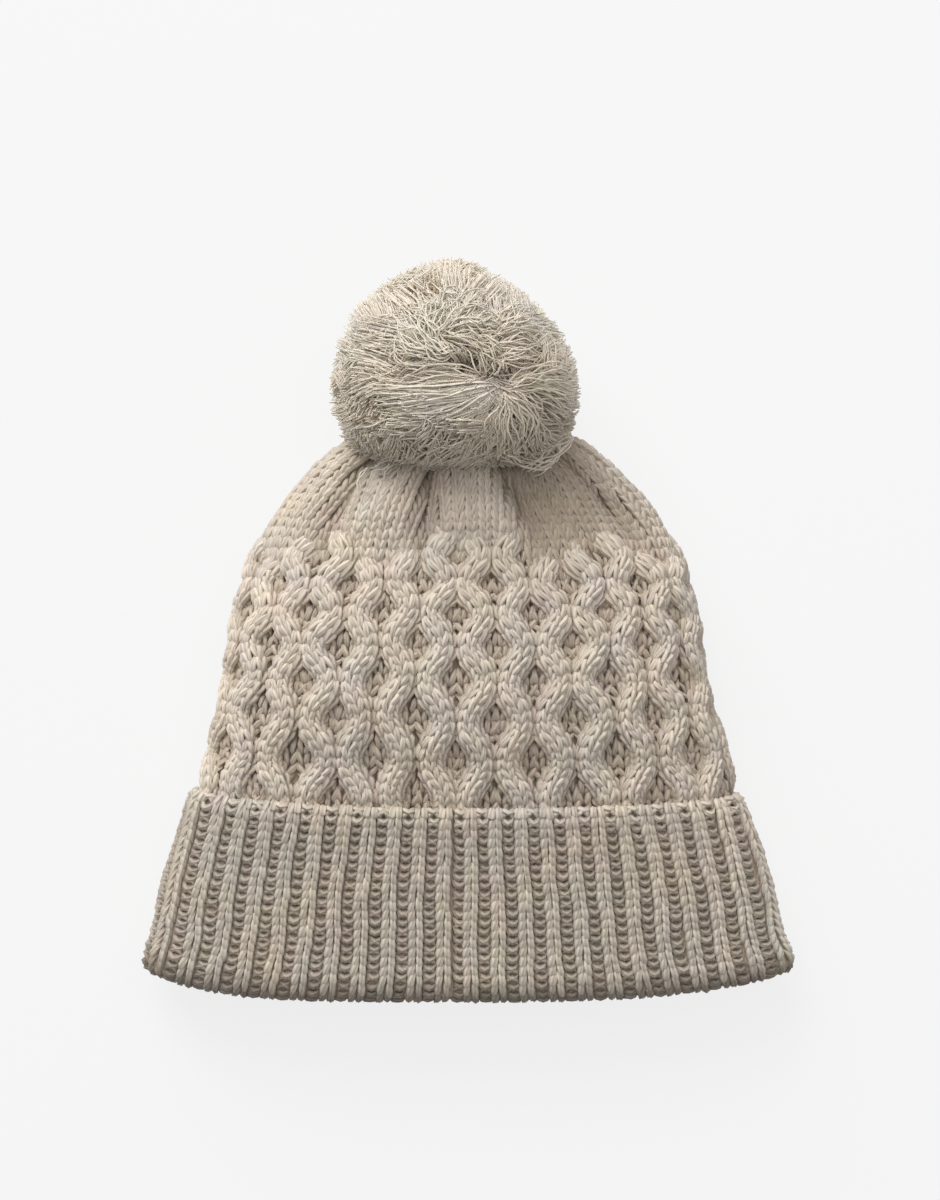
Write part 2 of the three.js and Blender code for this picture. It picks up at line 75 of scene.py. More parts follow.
# share of the part's length, left and right of half the hem, depth and rise of the body's depth,
# share of the turned-up ply that the tube lies on, share of the gathers' bulge
CUFF_SECTIONS = [
    (0.00, 1.022, 1.028, 0.48, 0, 1, 0),
    (0.25, 0.964, 0.968, 0.52, 0, 1, 0),
    (0.50, 0.935, 0.932, 0.57, 0, 1, 0),
    (0.75, 0.887, 0.888, 0.62, 0, 1, 0),
]
CROWN_SECTIONS = [
    (0.000, 0.838, 0.828, 0.69, 0.000, 1.00, 0.0),
    (0.102, 0.800, 0.804, 0.80, 0.000, 0.45, 0.0),
    (0.179, 0.782, 0.784, 0.90, 0.000, 0.12, 0.0),
    (0.256, 0.768, 0.754, 0.96, 0.000, 0.00, 0.0),
    (0.333, 0.744, 0.728, 0.99, 0.000, 0.00, 0.0),
    (0.488, 0.722, 0.708, 1.00, 0.000, 0.00, 0.0),
    (0.642, 0.672, 0.666, 0.97, 0.000, 0.00, 0.0),
    (0.719, 0.638, 0.620, 0.93, 0.005, 0.00, 0.4),
    (0.796, 0.560, 0.543, 0.87, 0.030, 0.00, 1.0),
    (0.873, 0.491, 0.460, 0.77, 0.095, 0.00, 1.0),
    (0.912, 0.447, 0.409, 0.69, 0.150, 0.00, 1.0),
    (0.950, 0.388, 0.352, 0.58, 0.235, 0.00, 1.0),
    (0.975, 0.320, 0.304, 0.46, 0.330, 0.00, 0.9),
    (0.992, 0.225, 0.207, 0.32, 0.430, 0.00, 0.7),
    (1.000, 0.115, 0.097, 0.16, 0.545, 0.00, 0.3),
]
FOLDS = np.array([-0.47, -0.37, -0.26, -0.150, -0.045, 0.070, 0.185, 0.27, 0.37, 0.46])
# the lift of the petal before each fold and of the one after the last, as a share of the full one
PETAL_LIFTS = np.array([1.0, 1.0, 1.0, 0.95, 1.15, 1.20, 0.35, 0.85, 1.0, 1.0, 1.0])
FOLD_DRIFT, DRIFT_MIDDLE, DRIFT_REACH, DRIFT_BEGIN = 0.045, 0.06, 0.12, 0.64
PETAL_ROUNDNESS, FOLD_SINK = 0.62, 3.2

# %% A smooth curve through the rows of a table
def smooth(knots, values, at):
    """Cubic Hermite curve: between two knots a cubic blends both values and both slopes, and a
    slope is the rise over the run between the two neighbours of its knot."""
    low = np.clip(np.arange(len(knots)) - 1, 0, None)
    high = np.clip(np.arange(len(knots)) + 1, None, len(knots) - 1)
    slope = (values[high] - values[low]) / (knots[high] - knots[low])[:, None]
    i = np.clip(np.searchsorted(knots, at, side="right") - 1, 0, len(knots) - 2)
    width = (knots[i + 1] - knots[i])[:, None]
    t = np.clip((at - knots[i])[:, None] / width, 0, 1)
    return ((2 * t**3 - 3 * t**2 + 1) * values[i] + (t**3 - 2 * t**2 + t) * width * slope[i]
            + (3 * t**2 - 2 * t**3) * values[i + 1] + (t**3 - t**2) * width * slope[i + 1])


def unit(v):
    """Each vector over its own length."""
    return v / np.maximum(np.linalg.norm(v, axis=-1, keepdims=True), 1e-9)


def ease(x, low, high):
    """0 below low, 1 above high, and the curve 3t^2 - 2t^3 between."""
    t = np.clip((x - low) / (high - low), 0, 1)
    return t * t * (3 - 2 * t)


# %% The body's grid
ROWS, ROUND, FINE = 440, 720, 1440
table = np.array([(a * CUFF_HEIGHT, *rest) for a, *rest in CUFF_SECTIONS]
                 + [(CUFF_HEIGHT + a * CROWN_LENGTH, *rest) for a, *rest in CROWN_SECTIONS])
table[:, 1:3] *= HEM_WIDTH / 2
knots = np.concatenate([[0], np.cumsum(np.hypot(np.diff(table[:, 0]), np.diff(table[:, 1])))])
runs = np.linspace(0, knots[-1], ROWS)
body_y, left, right, depth, rise, stack, petal_share = smooth(knots, table, runs).T


def body_grid():
    """Points on the bare tube. A section is x = half |cos|^(2/n), z = middle + tall |sin|^(2/n), and
    its points are then spread evenly along its own length from the middle of the front."""
    turn = np.pi / 2 - 2 * np.pi * np.arange(FINE + 1) / FINE
    c, s = np.cos(turn), np.sin(turn)
    half = np.where(c < 0, left[:, None], right[:, None])
    tall = np.where(s < 0, WAIST, 1 - WAIST) * (depth * BODY_DEPTH)[:, None]
    power = 2 / np.where(s < 0, BACK_SQUARENESS, FRONT_SQUARENESS)
    bottom = rise * BODY_DEPTH + stack * CUFF_STACK - REST_SQUASH
    x = np.sign(c) * half * np.abs(c) ** power
    z = (bottom + WAIST * depth * BODY_DEPTH)[:, None] + np.sign(s) * tall * np.abs(s) ** power
    run = np.zeros_like(x)
    run[:, 1:] = np.cumsum(np.hypot(np.diff(x), np.diff(z)), axis=1)
    spread = np.linspace(0, 1, ROUND + 1)
    xs = np.stack([np.interp(spread * r[-1], r, row) for r, row in zip(run, x)])
    zs = np.stack([np.interp(spread * r[-1], r, row) for r, row in zip(run, z)])
    side = xs / np.where(xs < 0, left[:, None], right[:, None])
    up = np.clip(body_y / CUFF_HEIGHT, 0, 1)[:, None]
    over = np.clip(body_y / CUFF_HEIGHT - 1, 0, 1)[:, None]
    hem_rise, sharpness, edge_rise = [np.where(side < 0, *pair)
                                      for pair in (HEM_RISE, CORNER_SHARPNESS, EDGE_RISE)]
    corner = hem_rise * np.abs(side) ** sharpness * (1 - up) ** CORNER_FADE
    edge = edge_rise * side**2 * up * (1 - over)
    return np.stack([xs, body_y[:, None] + corner + edge, zs], axis=-1), run[:, -1]


grid, girths = body_grid()
along = np.gradient(grid, axis=0)
across = np.roll(grid[:, :-1], -1, axis=1) - np.roll(grid[:, :-1], 1, axis=1)
across = np.concatenate([across, across[:, :1]], axis=1)
grid_normals = unit(np.cross(across, along))
print("girth at the hem and over the crown:", round(girths[0]), round(girths[ROWS // 2]), "mm")


def lookup(run, share, of):
    """Bilinear reading of a grid of vectors at a length along the tube and a share of the way round."""
    r = np.clip(run / runs[-1], 0, 1) * (ROWS - 1)
    s = np.mod(share, 1) * ROUND
    i, j = np.minimum(r.astype(int), ROWS - 2), np.minimum(s.astype(int), ROUND - 1)
    a, b = (r - i)[..., None], (s - j)[..., None]
    return ((of[i, j] * (1 - b) + of[i, j + 1] * b) * (1 - a)
            + (of[i + 1, j] * (1 - b) + of[i + 1, j + 1] * b) * a)


def run_at(height):
    """The length along the tube where its middle line reaches a height above the hem."""
    return np.interp(height, body_y, runs)


def petal(run, share):
    """Bulge of the gathers: a half sine between two folds, raised to a power below 1 so that the folds
    stay sharp. On the right the folds drift towards the middle on their way up."""
    here = np.mod(share + 0.5, 1) - 0.5
    up = ease(run, run_at(CUFF_HEIGHT + DRIFT_BEGIN * CROWN_LENGTH), runs[-1])
    here = here + FOLD_DRIFT * up * np.exp(-((here - DRIFT_MIDDLE) / DRIFT_REACH) ** 2)
    all_folds = np.concatenate([[FOLDS[-1] - 1], FOLDS, [FOLDS[0] + 1]])
    i = np.clip(np.searchsorted(all_folds, here, side="right") - 1, 0, len(all_folds) - 2)
    across_petal = (here - all_folds[i]) / (all_folds[i + 1] - all_folds[i])
    return PETAL_LIFTS[i] * np.clip(np.sin(np.pi * across_petal), 0, 1) ** PETAL_ROUNDNESS


def surface(run, share, out=0.0):
    """A point of the knit: the bare tube, moved out along its normal by the gathers and by out."""
    run, share, out = np.broadcast_arrays(run, share, out)
    lifted = petal(run, share)
    sunk = FOLD_SINK * np.clip(1 - lifted, 0, 1) ** 2
    bulge = (PETAL_RISE * lifted - sunk) * np.interp(run, runs, petal_share)
    return lookup(run, share, grid) + lookup(run, share, grid_normals) * (bulge + out)[..., None]


TABLE_SOFT, TABLE_NEAR = 1.1, 8.0


def rest_flat(points):
    """Knit that would sink into the table is pressed towards it: z becomes s ln(1 + e^(z/s))."""
    flat = points.copy()
    z = points[..., 2]
    pressed = TABLE_SOFT * np.log1p(np.exp(np.minimum(z, TABLE_NEAR) / TABLE_SOFT))
    flat[..., 2] = np.where(z > TABLE_NEAR, z, pressed)
    return flat


# %% [markdown]
# A stitch is a loop of yarn, and what shows of it is two short legs that lean together into a V. So
# one leg is the building block: a short tube, thick in the middle and thin at both ends. Thousands
# of legs are made at once. Each has a row of centre points, a ring of points is set round every
# centre, and the rings are joined in one mesh with a UV map that runs along and around the leg.

# %% Tubes along many paths at once
def in_turn(width, *parts):
    """Arrays laid side by side, face by face, and cut into rows of the given width."""
    return np.stack(np.broadcast_arrays(*parts), -1).reshape(-1, width)


def joined(sets):
    """Sets of stitches put into one, array by array."""
    return [np.concatenate(part) for part in zip(*sets)]


END_REACH = 0.7  # how far the closing point of a tube lies beyond its last ring, in radii


def tube_mesh(name, paths, radii, ups, sides, tones, painted_light):
    """Rings of points on a circle round each centre: centre + r (cos a * side + sin a * up). The
    side is square to the path and to the up direction, and both ends are closed by a point."""
    count, steps = paths.shape[:2]
    along = unit(np.gradient(paths, axis=1))
    side = unit(np.cross(along, np.broadcast_to(ups[:, None], along.shape)))
    up = np.cross(side, along)
    a = 2 * np.pi * np.arange(sides) / sides
    spokes = (side[:, :, None] * np.cos(a)[:, None] + up[:, :, None] * np.sin(a)[:, None])
    rings = paths[:, :, None] + spokes * radii[:, :, None, None]
    ends = np.stack([paths[:, 0] - along[:, 0] * radii[:, :1] * END_REACH,
                     paths[:, -1] + along[:, -1] * radii[:, -1:] * END_REACH], axis=1)
    verts = np.concatenate([rings.reshape(count, -1, 3), ends], axis=1)
    per = steps * sides + 2
    ring = np.arange(steps - 1)[:, None] * sides
    here, after = np.arange(sides), (np.arange(sides) + 1) % sides
    quads = in_turn(4, ring + here, ring + after, ring + sides + after, ring + sides + here)
    last = (steps - 1) * sides
    first_cap = in_turn(3, per - 2, after, here)
    last_cap = in_turn(3, per - 1, last + here, last + after)
    loops = np.concatenate([quads.ravel(), first_cap.ravel(), last_cap.ravel()])
    totals = np.concatenate([np.full(len(quads), 4), np.full(2 * sides, 3)])
    # the UV map of one tube: u runs from end to end, v once round it
    v0, mid, v1 = here / sides, (here + 0.5) / sides, (here + 1) / sides
    u = (np.arange(steps) / (steps - 1))[:, None]
    u0, u1 = u[:-1], u[1:]
    uv = np.concatenate([in_turn(2, u0, v0, u0, v1, u1, v1, u1, v0),
                         in_turn(2, 0, mid, 0, v1, 0, v0), in_turn(2, 1, mid, 1, v0, 1, v1)])
    loops = (loops[None] + per * np.arange(count)[:, None]).ravel()
    starts = np.concatenate([[0], np.cumsum(np.tile(totals, count))[:-1]])
    return mesh_from(name, verts.reshape(-1, 3), loops, starts, np.tile(uv, (count, 1)),
                     {"tone": np.repeat(tones, per), "high": np.repeat(painted_light, per)})


def placed(name, data):
    """An object of its own for a mesh, a light or a camera, put in the scene."""
    made = bpy.data.objects.new(name, data)
    bpy.context.scene.collection.objects.link(made)
    return made


def mesh_from(name, points, loops, starts, uv=None, values=None):
    """Whole arrays of points in millimetres and of corners become one smooth-shaded mesh object."""
    mesh = bpy.data.meshes.new(name)
    mesh.vertices.add(len(points))
    mesh.vertices.foreach_set("co", ((rest_flat(points) + origin) * MM).astype(np.float32).ravel())
    mesh.loops.add(len(loops))
    mesh.loops.foreach_set("vertex_index", loops.astype(np.int32))
    mesh.polygons.add(len(starts))
    mesh.polygons.foreach_set("loop_start", starts.astype(np.int32))
    mesh.polygons.foreach_set("use_smooth", np.ones(len(starts), bool))
    if uv is not None:
        mesh.uv_layers.new(name="strand").data.foreach_set("uv", uv.astype(np.float32).ravel())
    for key, value in (values or {}).items():
        mesh.attributes.new(key, "FLOAT", "POINT").data.foreach_set("value", value.astype(np.float32))
    mesh.update(calc_edges=True)
    mesh.validate()
    print(name, "has", len(loops) - 2 * len(starts), "triangles")
    return placed(name, mesh)


def on_frames(at, side, up_row, normal, local):
    """Local points (across in mm, along in rows, out in mm) carried into the place of each stitch."""
    return (at[:, None] + side[:, None] * local[..., :1] + up_row[:, None] * local[..., 1:2]
            + normal[:, None] * local[..., 2:])


# one leg of a stitch: across as a share of the stitch's width, along in rows, out in leg radii, girth
LEG = np.array([
    (0.09, -0.46, -0.50, 0.72),
    (0.18, 0.12, 0.58, 1.00),
    (0.30, 0.74, 0.62, 1.04),
    (0.39, 1.36, -0.58, 0.74),
])

LEG_JITTER, GIRTH_SPREAD = (0.11, 0.05, 0.11), 0.08


def legs(profile, count, width, radius, mirror):
    """Both the path of each leg and its radii. A mirrored leg leans the other way, and each is a
    little off its place and a little thicker or thinner than the next."""
    local = np.empty((count, len(profile), 3))
    local[..., 0] = profile[:, 0] * width * mirror
    local[..., 1] = profile[:, 1]
    local[..., 2] = profile[:, 2] * radius
    local += rng.normal(0, 1, (count, 1, 3)) * LEG_JITTER
    radii = profile[:, 3] * radius * (1 + GIRTH_SPREAD * rng.normal(0, 1, (count, 1)))
    return local, radii


# %% [markdown]
# The crown is a honeycomb of cables. Round the hat lie lanes. In each lane a rope of three stitches
# sways in front of its two partners, which sway the other way behind it, and neighbouring lanes are
# mirrored, so that ropes meet and part in turn. A rope is round, so its legs are bent over an arc.

# %% The cable ropes and the ground behind them
ROPE_ROW = 3.45
SWAY, SWAY_SHARPNESS = 0.168, 0.85
ROPE_STITCH, GROUND_STITCH = 0.265, 0.40
ROPE_COLUMNS, GROUND_COLUMNS = (-1, 0, 1), (-0.5, 0.5)
# the arc's radius as a share of a lane's width, and how much painted shade darkens a rope's edge
# and its partners behind it
ROPE_ARC, ROPE_EDGE_SHADE, PARTNER_SHADE = 5.4 / 16.4, 0.55, 0.35
ROPE_RADIUS, PARTNER_RADIUS, PARTNER_SINK, CROSSING_DIP, ROPE_HALF = 1.20, 1.25, 0.25, 0.12, 0.34
WANDER, WANDER_PACE = 0.06, 1.1
# how many steps below its lane's finish a rope begins to settle and to fade, and it and its partners
# stop, and the share of its height that is gone at the finish
SETTLE, FADE, ROPE_STOP, PARTNER_STOP, FADED = 0.9, 1.2, 0.1, 0.9, 0.9
LANE_DRIFT = rng.normal(0, 0.085, LANES)
LANE_WANDER = rng.uniform(0, 2 * np.pi, LANES)
LANE_SWELL = 1 + rng.normal(0, 0.13, LANES)
LANE_FINISH = CROSSINGS + 0.80 + 0.55 * np.sin(1.9 * np.arange(LANES) + 0.5)


def crossing_height(step):
    """Height above the hem of a crossing: the steps shorten evenly towards the top."""
    return CUFF_HEIGHT + 2 + CROSSING_STEP * step - CROSSING_SHRINK * step**2 / 2


def step_at(height, low, high, count):
    """The crossing step that lies at a height, read off a table from the low to the high step."""
    steps = np.linspace(low, high, count)
    return np.interp(height, crossing_height(steps), steps)


def cable_tracks(lane, step, front):
    """Where a strand runs: its share of the way round, its length along the tube, its height out."""
    number = lane.astype(int)
    mirrored = np.where(lane % 2 == 1, 1.0, -1.0) * (1 if front else -1) * LANE_SWELL[number]
    beat = SWAY_SHARPNESS * np.cos(np.pi * (step + LANE_DRIFT[number]))
    swing = np.tanh(beat) / np.tanh(SWAY_SHARPNESS)
    finish = LANE_FINISH[number]
    settle = 1 - ease(step, finish - SETTLE, finish)
    wander = WANDER * np.sin(WANDER_PACE * step + LANE_WANDER[number])
    share = (lane + LANE_SHIFT + wander + mirrored * SWAY * swing * settle) / LANES
    height = crossing_height(step)
    emerging = ease(height, CUFF_HEIGHT - SEAM_DEPTH / 2, CUFF_HEIGHT + SEAM_DEPTH / 2)
    fading = 1 - FADED * ease(step, finish - FADE, finish)
    lift = 1 - CROSSING_DIP * np.cos(np.pi * step) ** 2
    out = ROPE_RISE * emerging * fading * lift if front else 0 * step - PARTNER_SINK
    return run_at(height), share, out


def frames(point, u, v, du, dv):
    """Side, row and normal directions of a surface, from its points a little to each side."""
    side = unit(point(u, v + dv) - point(u, v - dv))
    row = point(u + du, v) - point(u - du, v)
    normal = unit(np.cross(side, row))
    return side, row, normal


def cable_legs(front, lanes, steps):
    """Legs of one strand of every lane, as paths, radii, ups, tones and shares of painted light."""
    lane, step = [a.ravel() for a in np.meshgrid(lanes, steps, indexing="ij")]
    kept = step < LANE_FINISH[lane] - (ROPE_STOP if front else PARTNER_STOP)
    lane, step = lane[kept], step[kept]
    h = 0.5 * ROPE_ROW / (CROSSING_STEP - CROSSING_SHRINK * step)

    def centre(s):
        run, share, out = cable_tracks(lane, s, front)
        return surface(run, share, out), run, share

    at, run, share = centre(step)
    ahead, back = centre(step + h)[0], centre(step - h)[0]
    row = ahead - back
    normal = frames(surface, run, share, 1.5, 0.002)[2]
    side = unit(np.cross(row, normal))
    normal = unit(np.cross(side, row))
    lane_width = np.interp(run, runs, girths) / LANES
    width = lane_width * (ROPE_STITCH if front else GROUND_STITCH)
    radius = ROPE_RADIUS if front else PARTNER_RADIUS
    found = []
    for column in ROPE_COLUMNS if front else GROUND_COLUMNS:
        for mirror in (-1, 1):
            local, radii = legs(LEG, len(at), width[:, None], radius, mirror)
            x = local[..., 0] + column * width[:, None]
            if front:
                arc = ROPE_ARC * lane_width[:, None]
                turn = x / arc
                local[..., 0] = (arc + local[..., 2]) * np.sin(turn)
                local[..., 2] = (arc + local[..., 2]) * np.cos(turn) - arc
            else:
                local[..., 0] = x
            paths = on_frames(at, side, row, normal, local)
            ups = normal * np.cos(column) + side * np.sin(column * 0.9) if front else normal
            # painted shade: a rope's outer legs and the partners behind it are darker
            shade = ROPE_EDGE_SHADE if column * mirror > 0 else 1.0
            high = np.full(len(at), shade if front else PARTNER_SHADE)
            found.append((paths, radii, unit(ups), rng.random(len(at)), high))
    return joined(found)


# %% [markdown]
# Above the cables the knit is plain, and it is drawn together into petals between deep folds. The
# stitches of a petal keep their width, so its outer columns run out into the folds as the petal
# narrows, as they do where a knitter decreases.

# %% The gathered top
GATHER_STITCH, GATHER_ROW, FOLD_EDGE = 4.7, 3.8, 1.5
GATHER_START = crossing_height(CROSSINGS - 1.4)
# the last two: the painted shade on the tone of stitches in the folds, and their least painted light
GATHER_RADIUS, GATHER_OUT, GATHER_TUCK, FOLD_SHADE, FOLD_PAINTED_LIGHT = 1.34, 0.35, 1.1, 1.4, 0.12


def past_finish(run, share):
    """How many crossing steps a place lies above the end of its own lane's cable."""
    step = step_at(np.interp(run, runs, body_y), CROSSINGS - 3, CROSSINGS + 5, 200)
    lane = np.mod(np.round(share * LANES - LANE_SHIFT), LANES).astype(int)
    return step - LANE_FINISH[lane]


def gather_legs():
    """A lattice of stitches in each petal: columns at fixed distances from its middle line."""
    begin, stop = run_at(GATHER_START), runs[-1] - 2
    rows = np.arange(begin, stop, GATHER_ROW)
    found = []
    edges = np.append(FOLDS, FOLDS[0] + 1)
    for low, high in zip(edges[:-1], edges[1:]):
        girth = np.interp(rows, runs, girths)
        reach = int(np.ceil((high - low) * girth.max() / 2 / GATHER_STITCH)) + 1
        place = (np.arange(-reach, reach) + 0.5) * GATHER_STITCH
        row, x = np.meshgrid(np.arange(len(rows)), place, indexing="ij")
        share = (low + high) / 2 + x / girth[row]
        inside = (share > low + FOLD_EDGE / girth[row]) & (share < high - FOLD_EDGE / girth[row])
        found.append((rows[row][inside], share[inside]))
        found.append((rows, low + FOLD_EDGE / girth))
        found.append((rows, high - FOLD_EDGE / girth))
    run, share = joined(found)
    passed = past_finish(run, share)
    run, share, passed = run[passed > -1], share[passed > -1], passed[passed > -1]
    at = surface(run, share, GATHER_OUT - GATHER_TUCK * (1 - ease(passed, -1, -0.1)))
    side, row, normal = frames(surface, run, share, 1.0, 0.002)
    row = unit(row) * GATHER_ROW
    lifted = np.clip(petal(run, share), 0, 1)
    # painted shade: stitches darker towards the folds, in their light share and in their tone
    high = FOLD_PAINTED_LIGHT + (1 - FOLD_PAINTED_LIGHT) * lifted**2
    shade = FOLD_SHADE * (1 - lifted) * np.interp(run, runs, petal_share)
    made = []
    for mirror in (-1, 1):
        local, radii = legs(LEG, len(at), GATHER_STITCH, GATHER_RADIUS, mirror)
        tone = rng.random(len(at)) - shade
        made.append((on_frames(at, side, row, normal, local), radii, normal, tone, high))
    return joined(made)


# %% [markdown]
# The cuff is one ribbed ply folded at the hem. Its path is followed from the upper edge down the
# outside, round the hem and up inside. Knit columns stand proud as two nearly upright legs, purl
# columns between them show as rounded bumps lying across.

# %% The folded ribbing
RIB_ROW = 3.5
EDGE_ARC = 1.8
HEM_ARC = (SLIT + 2 * RIB_WALL) / 2
OUTER = CUFF_HEIGHT - EDGE_ARC - HEM_ARC
HEM_LENGTH = math.pi * HEM_ARC
INNER = CUFF_HEIGHT - SEAM_DEPTH - HEM_ARC


def ply(t):
    """Height and length out of the knit at a length t along the folded ply: a quarter circle over the
    upper edge, straight down, a half circle round the hem and straight up inside."""
    full = SLIT + RIB_WALL
    over = np.clip(-t / EDGE_ARC, 0, math.pi / 2)
    round_hem = np.clip((t - OUTER) / HEM_ARC, 0, math.pi)
    inside = np.clip(t - OUTER - HEM_LENGTH, 0, None)
    height = (CUFF_HEIGHT - EDGE_ARC + EDGE_ARC * np.sin(over) - np.clip(t, 0, OUTER)
              - HEM_ARC * np.sin(round_hem) + inside)
    out = full - EDGE_ARC * (1 - np.cos(over)) - HEM_ARC * (1 - np.cos(round_hem))
    return height, out


def cuff_surface(t, share, out=0.0):
    """A point of the ribbed ply, moved off it by out."""
    t, share, out = np.broadcast_arrays(t, share, out)

    def bare(s, w):
        height, off = ply(s)
        run = run_at(height)
        return lookup(run, w, grid) + lookup(run, w, grid_normals) * off[..., None]

    at = bare(t, share)
    normal = unit(np.cross(bare(t + 0.6, share) - bare(t - 0.6, share),
                           bare(t, share + 0.002) - bare(t, share - 0.002)))
    return at + normal * out[..., None]


SEAM_RIB = 45  # the gutter after this rib holds the sewn seam
RIB_PHASE = rng.uniform(0, 2 * np.pi, RIBS)
RIB_WAVE, RIB_WAVE_LENGTH, SMALL_WAVE, SMALL_WAVE_LENGTH = 0.03, 9, 0.015, 3.7

# one leg of a rib's stitch and one purl bump: across in rib pitches, along in rows, out in mm, girth
RIB_LEG = np.array([
    (0.088, -0.60, -0.60, 0.78),
    (0.120, 0.02, 0.40, 1.02),
    (0.152, 0.60, 0.46, 1.06),
    (0.168, 1.20, -0.66, 0.74),
])
PURL = np.array([
    (-0.25, -0.42, -0.85, 0.60),
    (-0.13, 0.12, 0.15, 0.98),
    (0.00, 0.26, 0.45, 1.00),
    (0.13, 0.12, 0.15, 0.98),
    (0.25, -0.42, -0.85, 0.60),
])
UNDER_PURL = PURL * [0.9, -1.0, 1.0, 0.95] + [0, 0.50, -0.20, 0]


# how loosely stitches lie and how their girths vary, their radii in mm, how far legs and bumps stand
# off the ply and sink at the hem, and the painted shade at the hem and the seam's narrower gutter
LEG_LOOSE, PURL_LOOSE, LEG_SPREAD, PURL_SPREAD = (0.12, 0.15, 0.12), (0.15, 0.2, 0.15), 0.07, 0.08
OUTER_LEG, INNER_LEG, PURL_GIRTH, UNDER_GIRTH = 1.42, 1.15, 1.40, 1.34
LEG_OUT, LEG_TUCK, PURL_IN, PURL_TUCK, PURL_LIFT = 0.45, 2.5, 0.35, 1.6, 1.0
HEM_SHADE, SEAM_SHIFT, SEAM_NARROW = 1.9, 0.60, 0.75


def on_ply(t, share, profile, pitch, loose, out, radius, spread, high):
    """Stitches bent over the ply: each profile point is looked up at its own place on the surface."""
    count = len(t)
    off = rng.normal(0, 1, (count, 1, 3)) * loose
    across = (profile[:, 0] * pitch[:, None] + off[..., 0]) / (pitch[:, None] * RIBS)
    down = profile[:, 1] * RIB_ROW + off[..., 1]
    rise = profile[:, 2] + off[..., 2] + out[:, None]
    paths = cuff_surface(t[:, None] + down, share[:, None] + across, rise)
    radii = profile[:, 3] * radius * (1 + spread * rng.normal(0, 1, (count, 1)))
    normal = -frames(cuff_surface, t, share, 0.8, 0.002)[2]
    # painted shade: stitches round the hem are darker in tone
    tone = rng.random(count) - HEM_SHADE * ease(t, OUTER - 7, OUTER + 1)
    return [paths, radii, normal, tone, high]


def rib_stitches(ts, inner):
    """Knit legs and purl bumps of every rib at the given lengths along the ply. Near the upper edge
    the purl bumps rise between the ribs, and round the hem all stitches lie lower and are darkened as
    painted shade."""
    rib, t = [a.ravel() for a in np.meshgrid(np.arange(RIBS), ts, indexing="ij")]
    wander = (RIB_WAVE * np.sin(t / RIB_WAVE_LENGTH + RIB_PHASE[rib])
              + SMALL_WAVE * np.sin(t / SMALL_WAVE_LENGTH + 2 * RIB_PHASE[rib]))
    share = (rib + RIB_SHIFT + wander) / RIBS
    pitch = np.interp(run_at(ply(t)[0]), runs, girths) / RIBS
    hem = ease(t, OUTER - 8, OUTER + HEM_LENGTH / 5)
    edge = 1 - ease(t, -1, 6)
    radius = INNER_LEG if inner else OUTER_LEG
    # painted shade: knit legs darker round the hem
    high = 1 - 1.1 * hem
    knit = joined([on_ply(t, share, RIB_LEG * [mirror, 1, 1, 1], pitch, LEG_LOOSE,
                          LEG_OUT - LEG_TUCK * hem, radius, LEG_SPREAD, high) for mirror in (-1, 1)])

    seam = (rib == SEAM_RIB)
    gutter = share + np.where(seam, SEAM_SHIFT, 0.50) / RIBS
    narrow = pitch * np.where(seam, SEAM_NARROW, 1.0)
    lift = PURL_LIFT * edge - PURL_IN - PURL_TUCK * hem
    # painted shade in the gutters and round the hem, painted light where the bumps rise at the upper
    # edge; the bumps under get less still
    high = np.clip(0.24 + 0.7 * edge - 0.9 * hem, 0, 1)
    top = on_ply(t, gutter, PURL, narrow, PURL_LOOSE, lift, PURL_GIRTH, PURL_SPREAD, high)
    under = on_ply(t, gutter, UNDER_PURL, narrow, PURL_LOOSE, lift, UNDER_GIRTH, PURL_SPREAD, high * 0.8)
    return knit, joined([top, under])


# %% [markdown]
# Under the stitches lies a plain closed shell. It fills what the yarn leaves open, as the backs of
# the loops do, and it is all that shows deep inside the hat. Its wool is painted darker, as shade.

# %% Closed shells under the stitches
GROUND_SINK = 0.9  # how far the plain ground lies under the surface that the stitches are laid on


def shell(name, rings, caps, painted_light=None):
    """Rings of equal count joined in order. caps are a point before the first and after the last
    ring, or None where the last ring joins the first. The last argument gives each point its share
    of painted light; without it every point gets the full painted shade."""
    count, around = rings.shape[:2]
    points = rings.reshape(-1, 3)
    here, after = np.arange(around), (np.arange(around) + 1) % around
    order = np.arange(count)
    a, b = (order, (order + 1) % count) if caps is None else (order[:-1], order[1:])
    a, b = a[:, None] * around, b[:, None] * around
    quads = in_turn(4, a + here, a + after, b + after, b + here)
    loops, starts = quads.ravel(), np.arange(len(quads)) * 4
    if caps is not None:
        points = np.concatenate([points, caps])
        first, last = count * around, (count - 1) * around
        fans = np.concatenate([in_turn(3, first, after, here),
                               in_turn(3, last + here, last + after, first + 1)])
        starts = np.concatenate([starts, len(loops) + np.arange(len(fans)) * 3])
        loops = np.concatenate([loops, fans.ravel()])
    high = np.zeros(len(points))
    if painted_light is not None:
        high[:painted_light.size] = painted_light.ravel()
    return mesh_from(name, points, loops, starts, values={"high": high})


def rope_relief(run, share):
    """How far the ropes push the ground out: a rounded bump across each rope's own track."""
    step = step_at(np.interp(run, runs, body_y), -1.2, CROSSINGS + 1.4, 400)
    place = np.mod(share * LANES - LANE_SHIFT + 0.5, LANES)
    best = np.zeros(np.broadcast(run, share).shape)
    for shift in (-1, 0, 1):
        lane = np.mod(np.floor(place) + shift, LANES)
        _, centre, out = cable_tracks(lane, step, True)
        off = np.mod((share - centre) * LANES + LANES / 2, LANES) - LANES / 2
        best = np.maximum(best, out * np.sqrt(np.clip(1 - (off / ROPE_HALF) ** 2, 0, 1)))
    return best


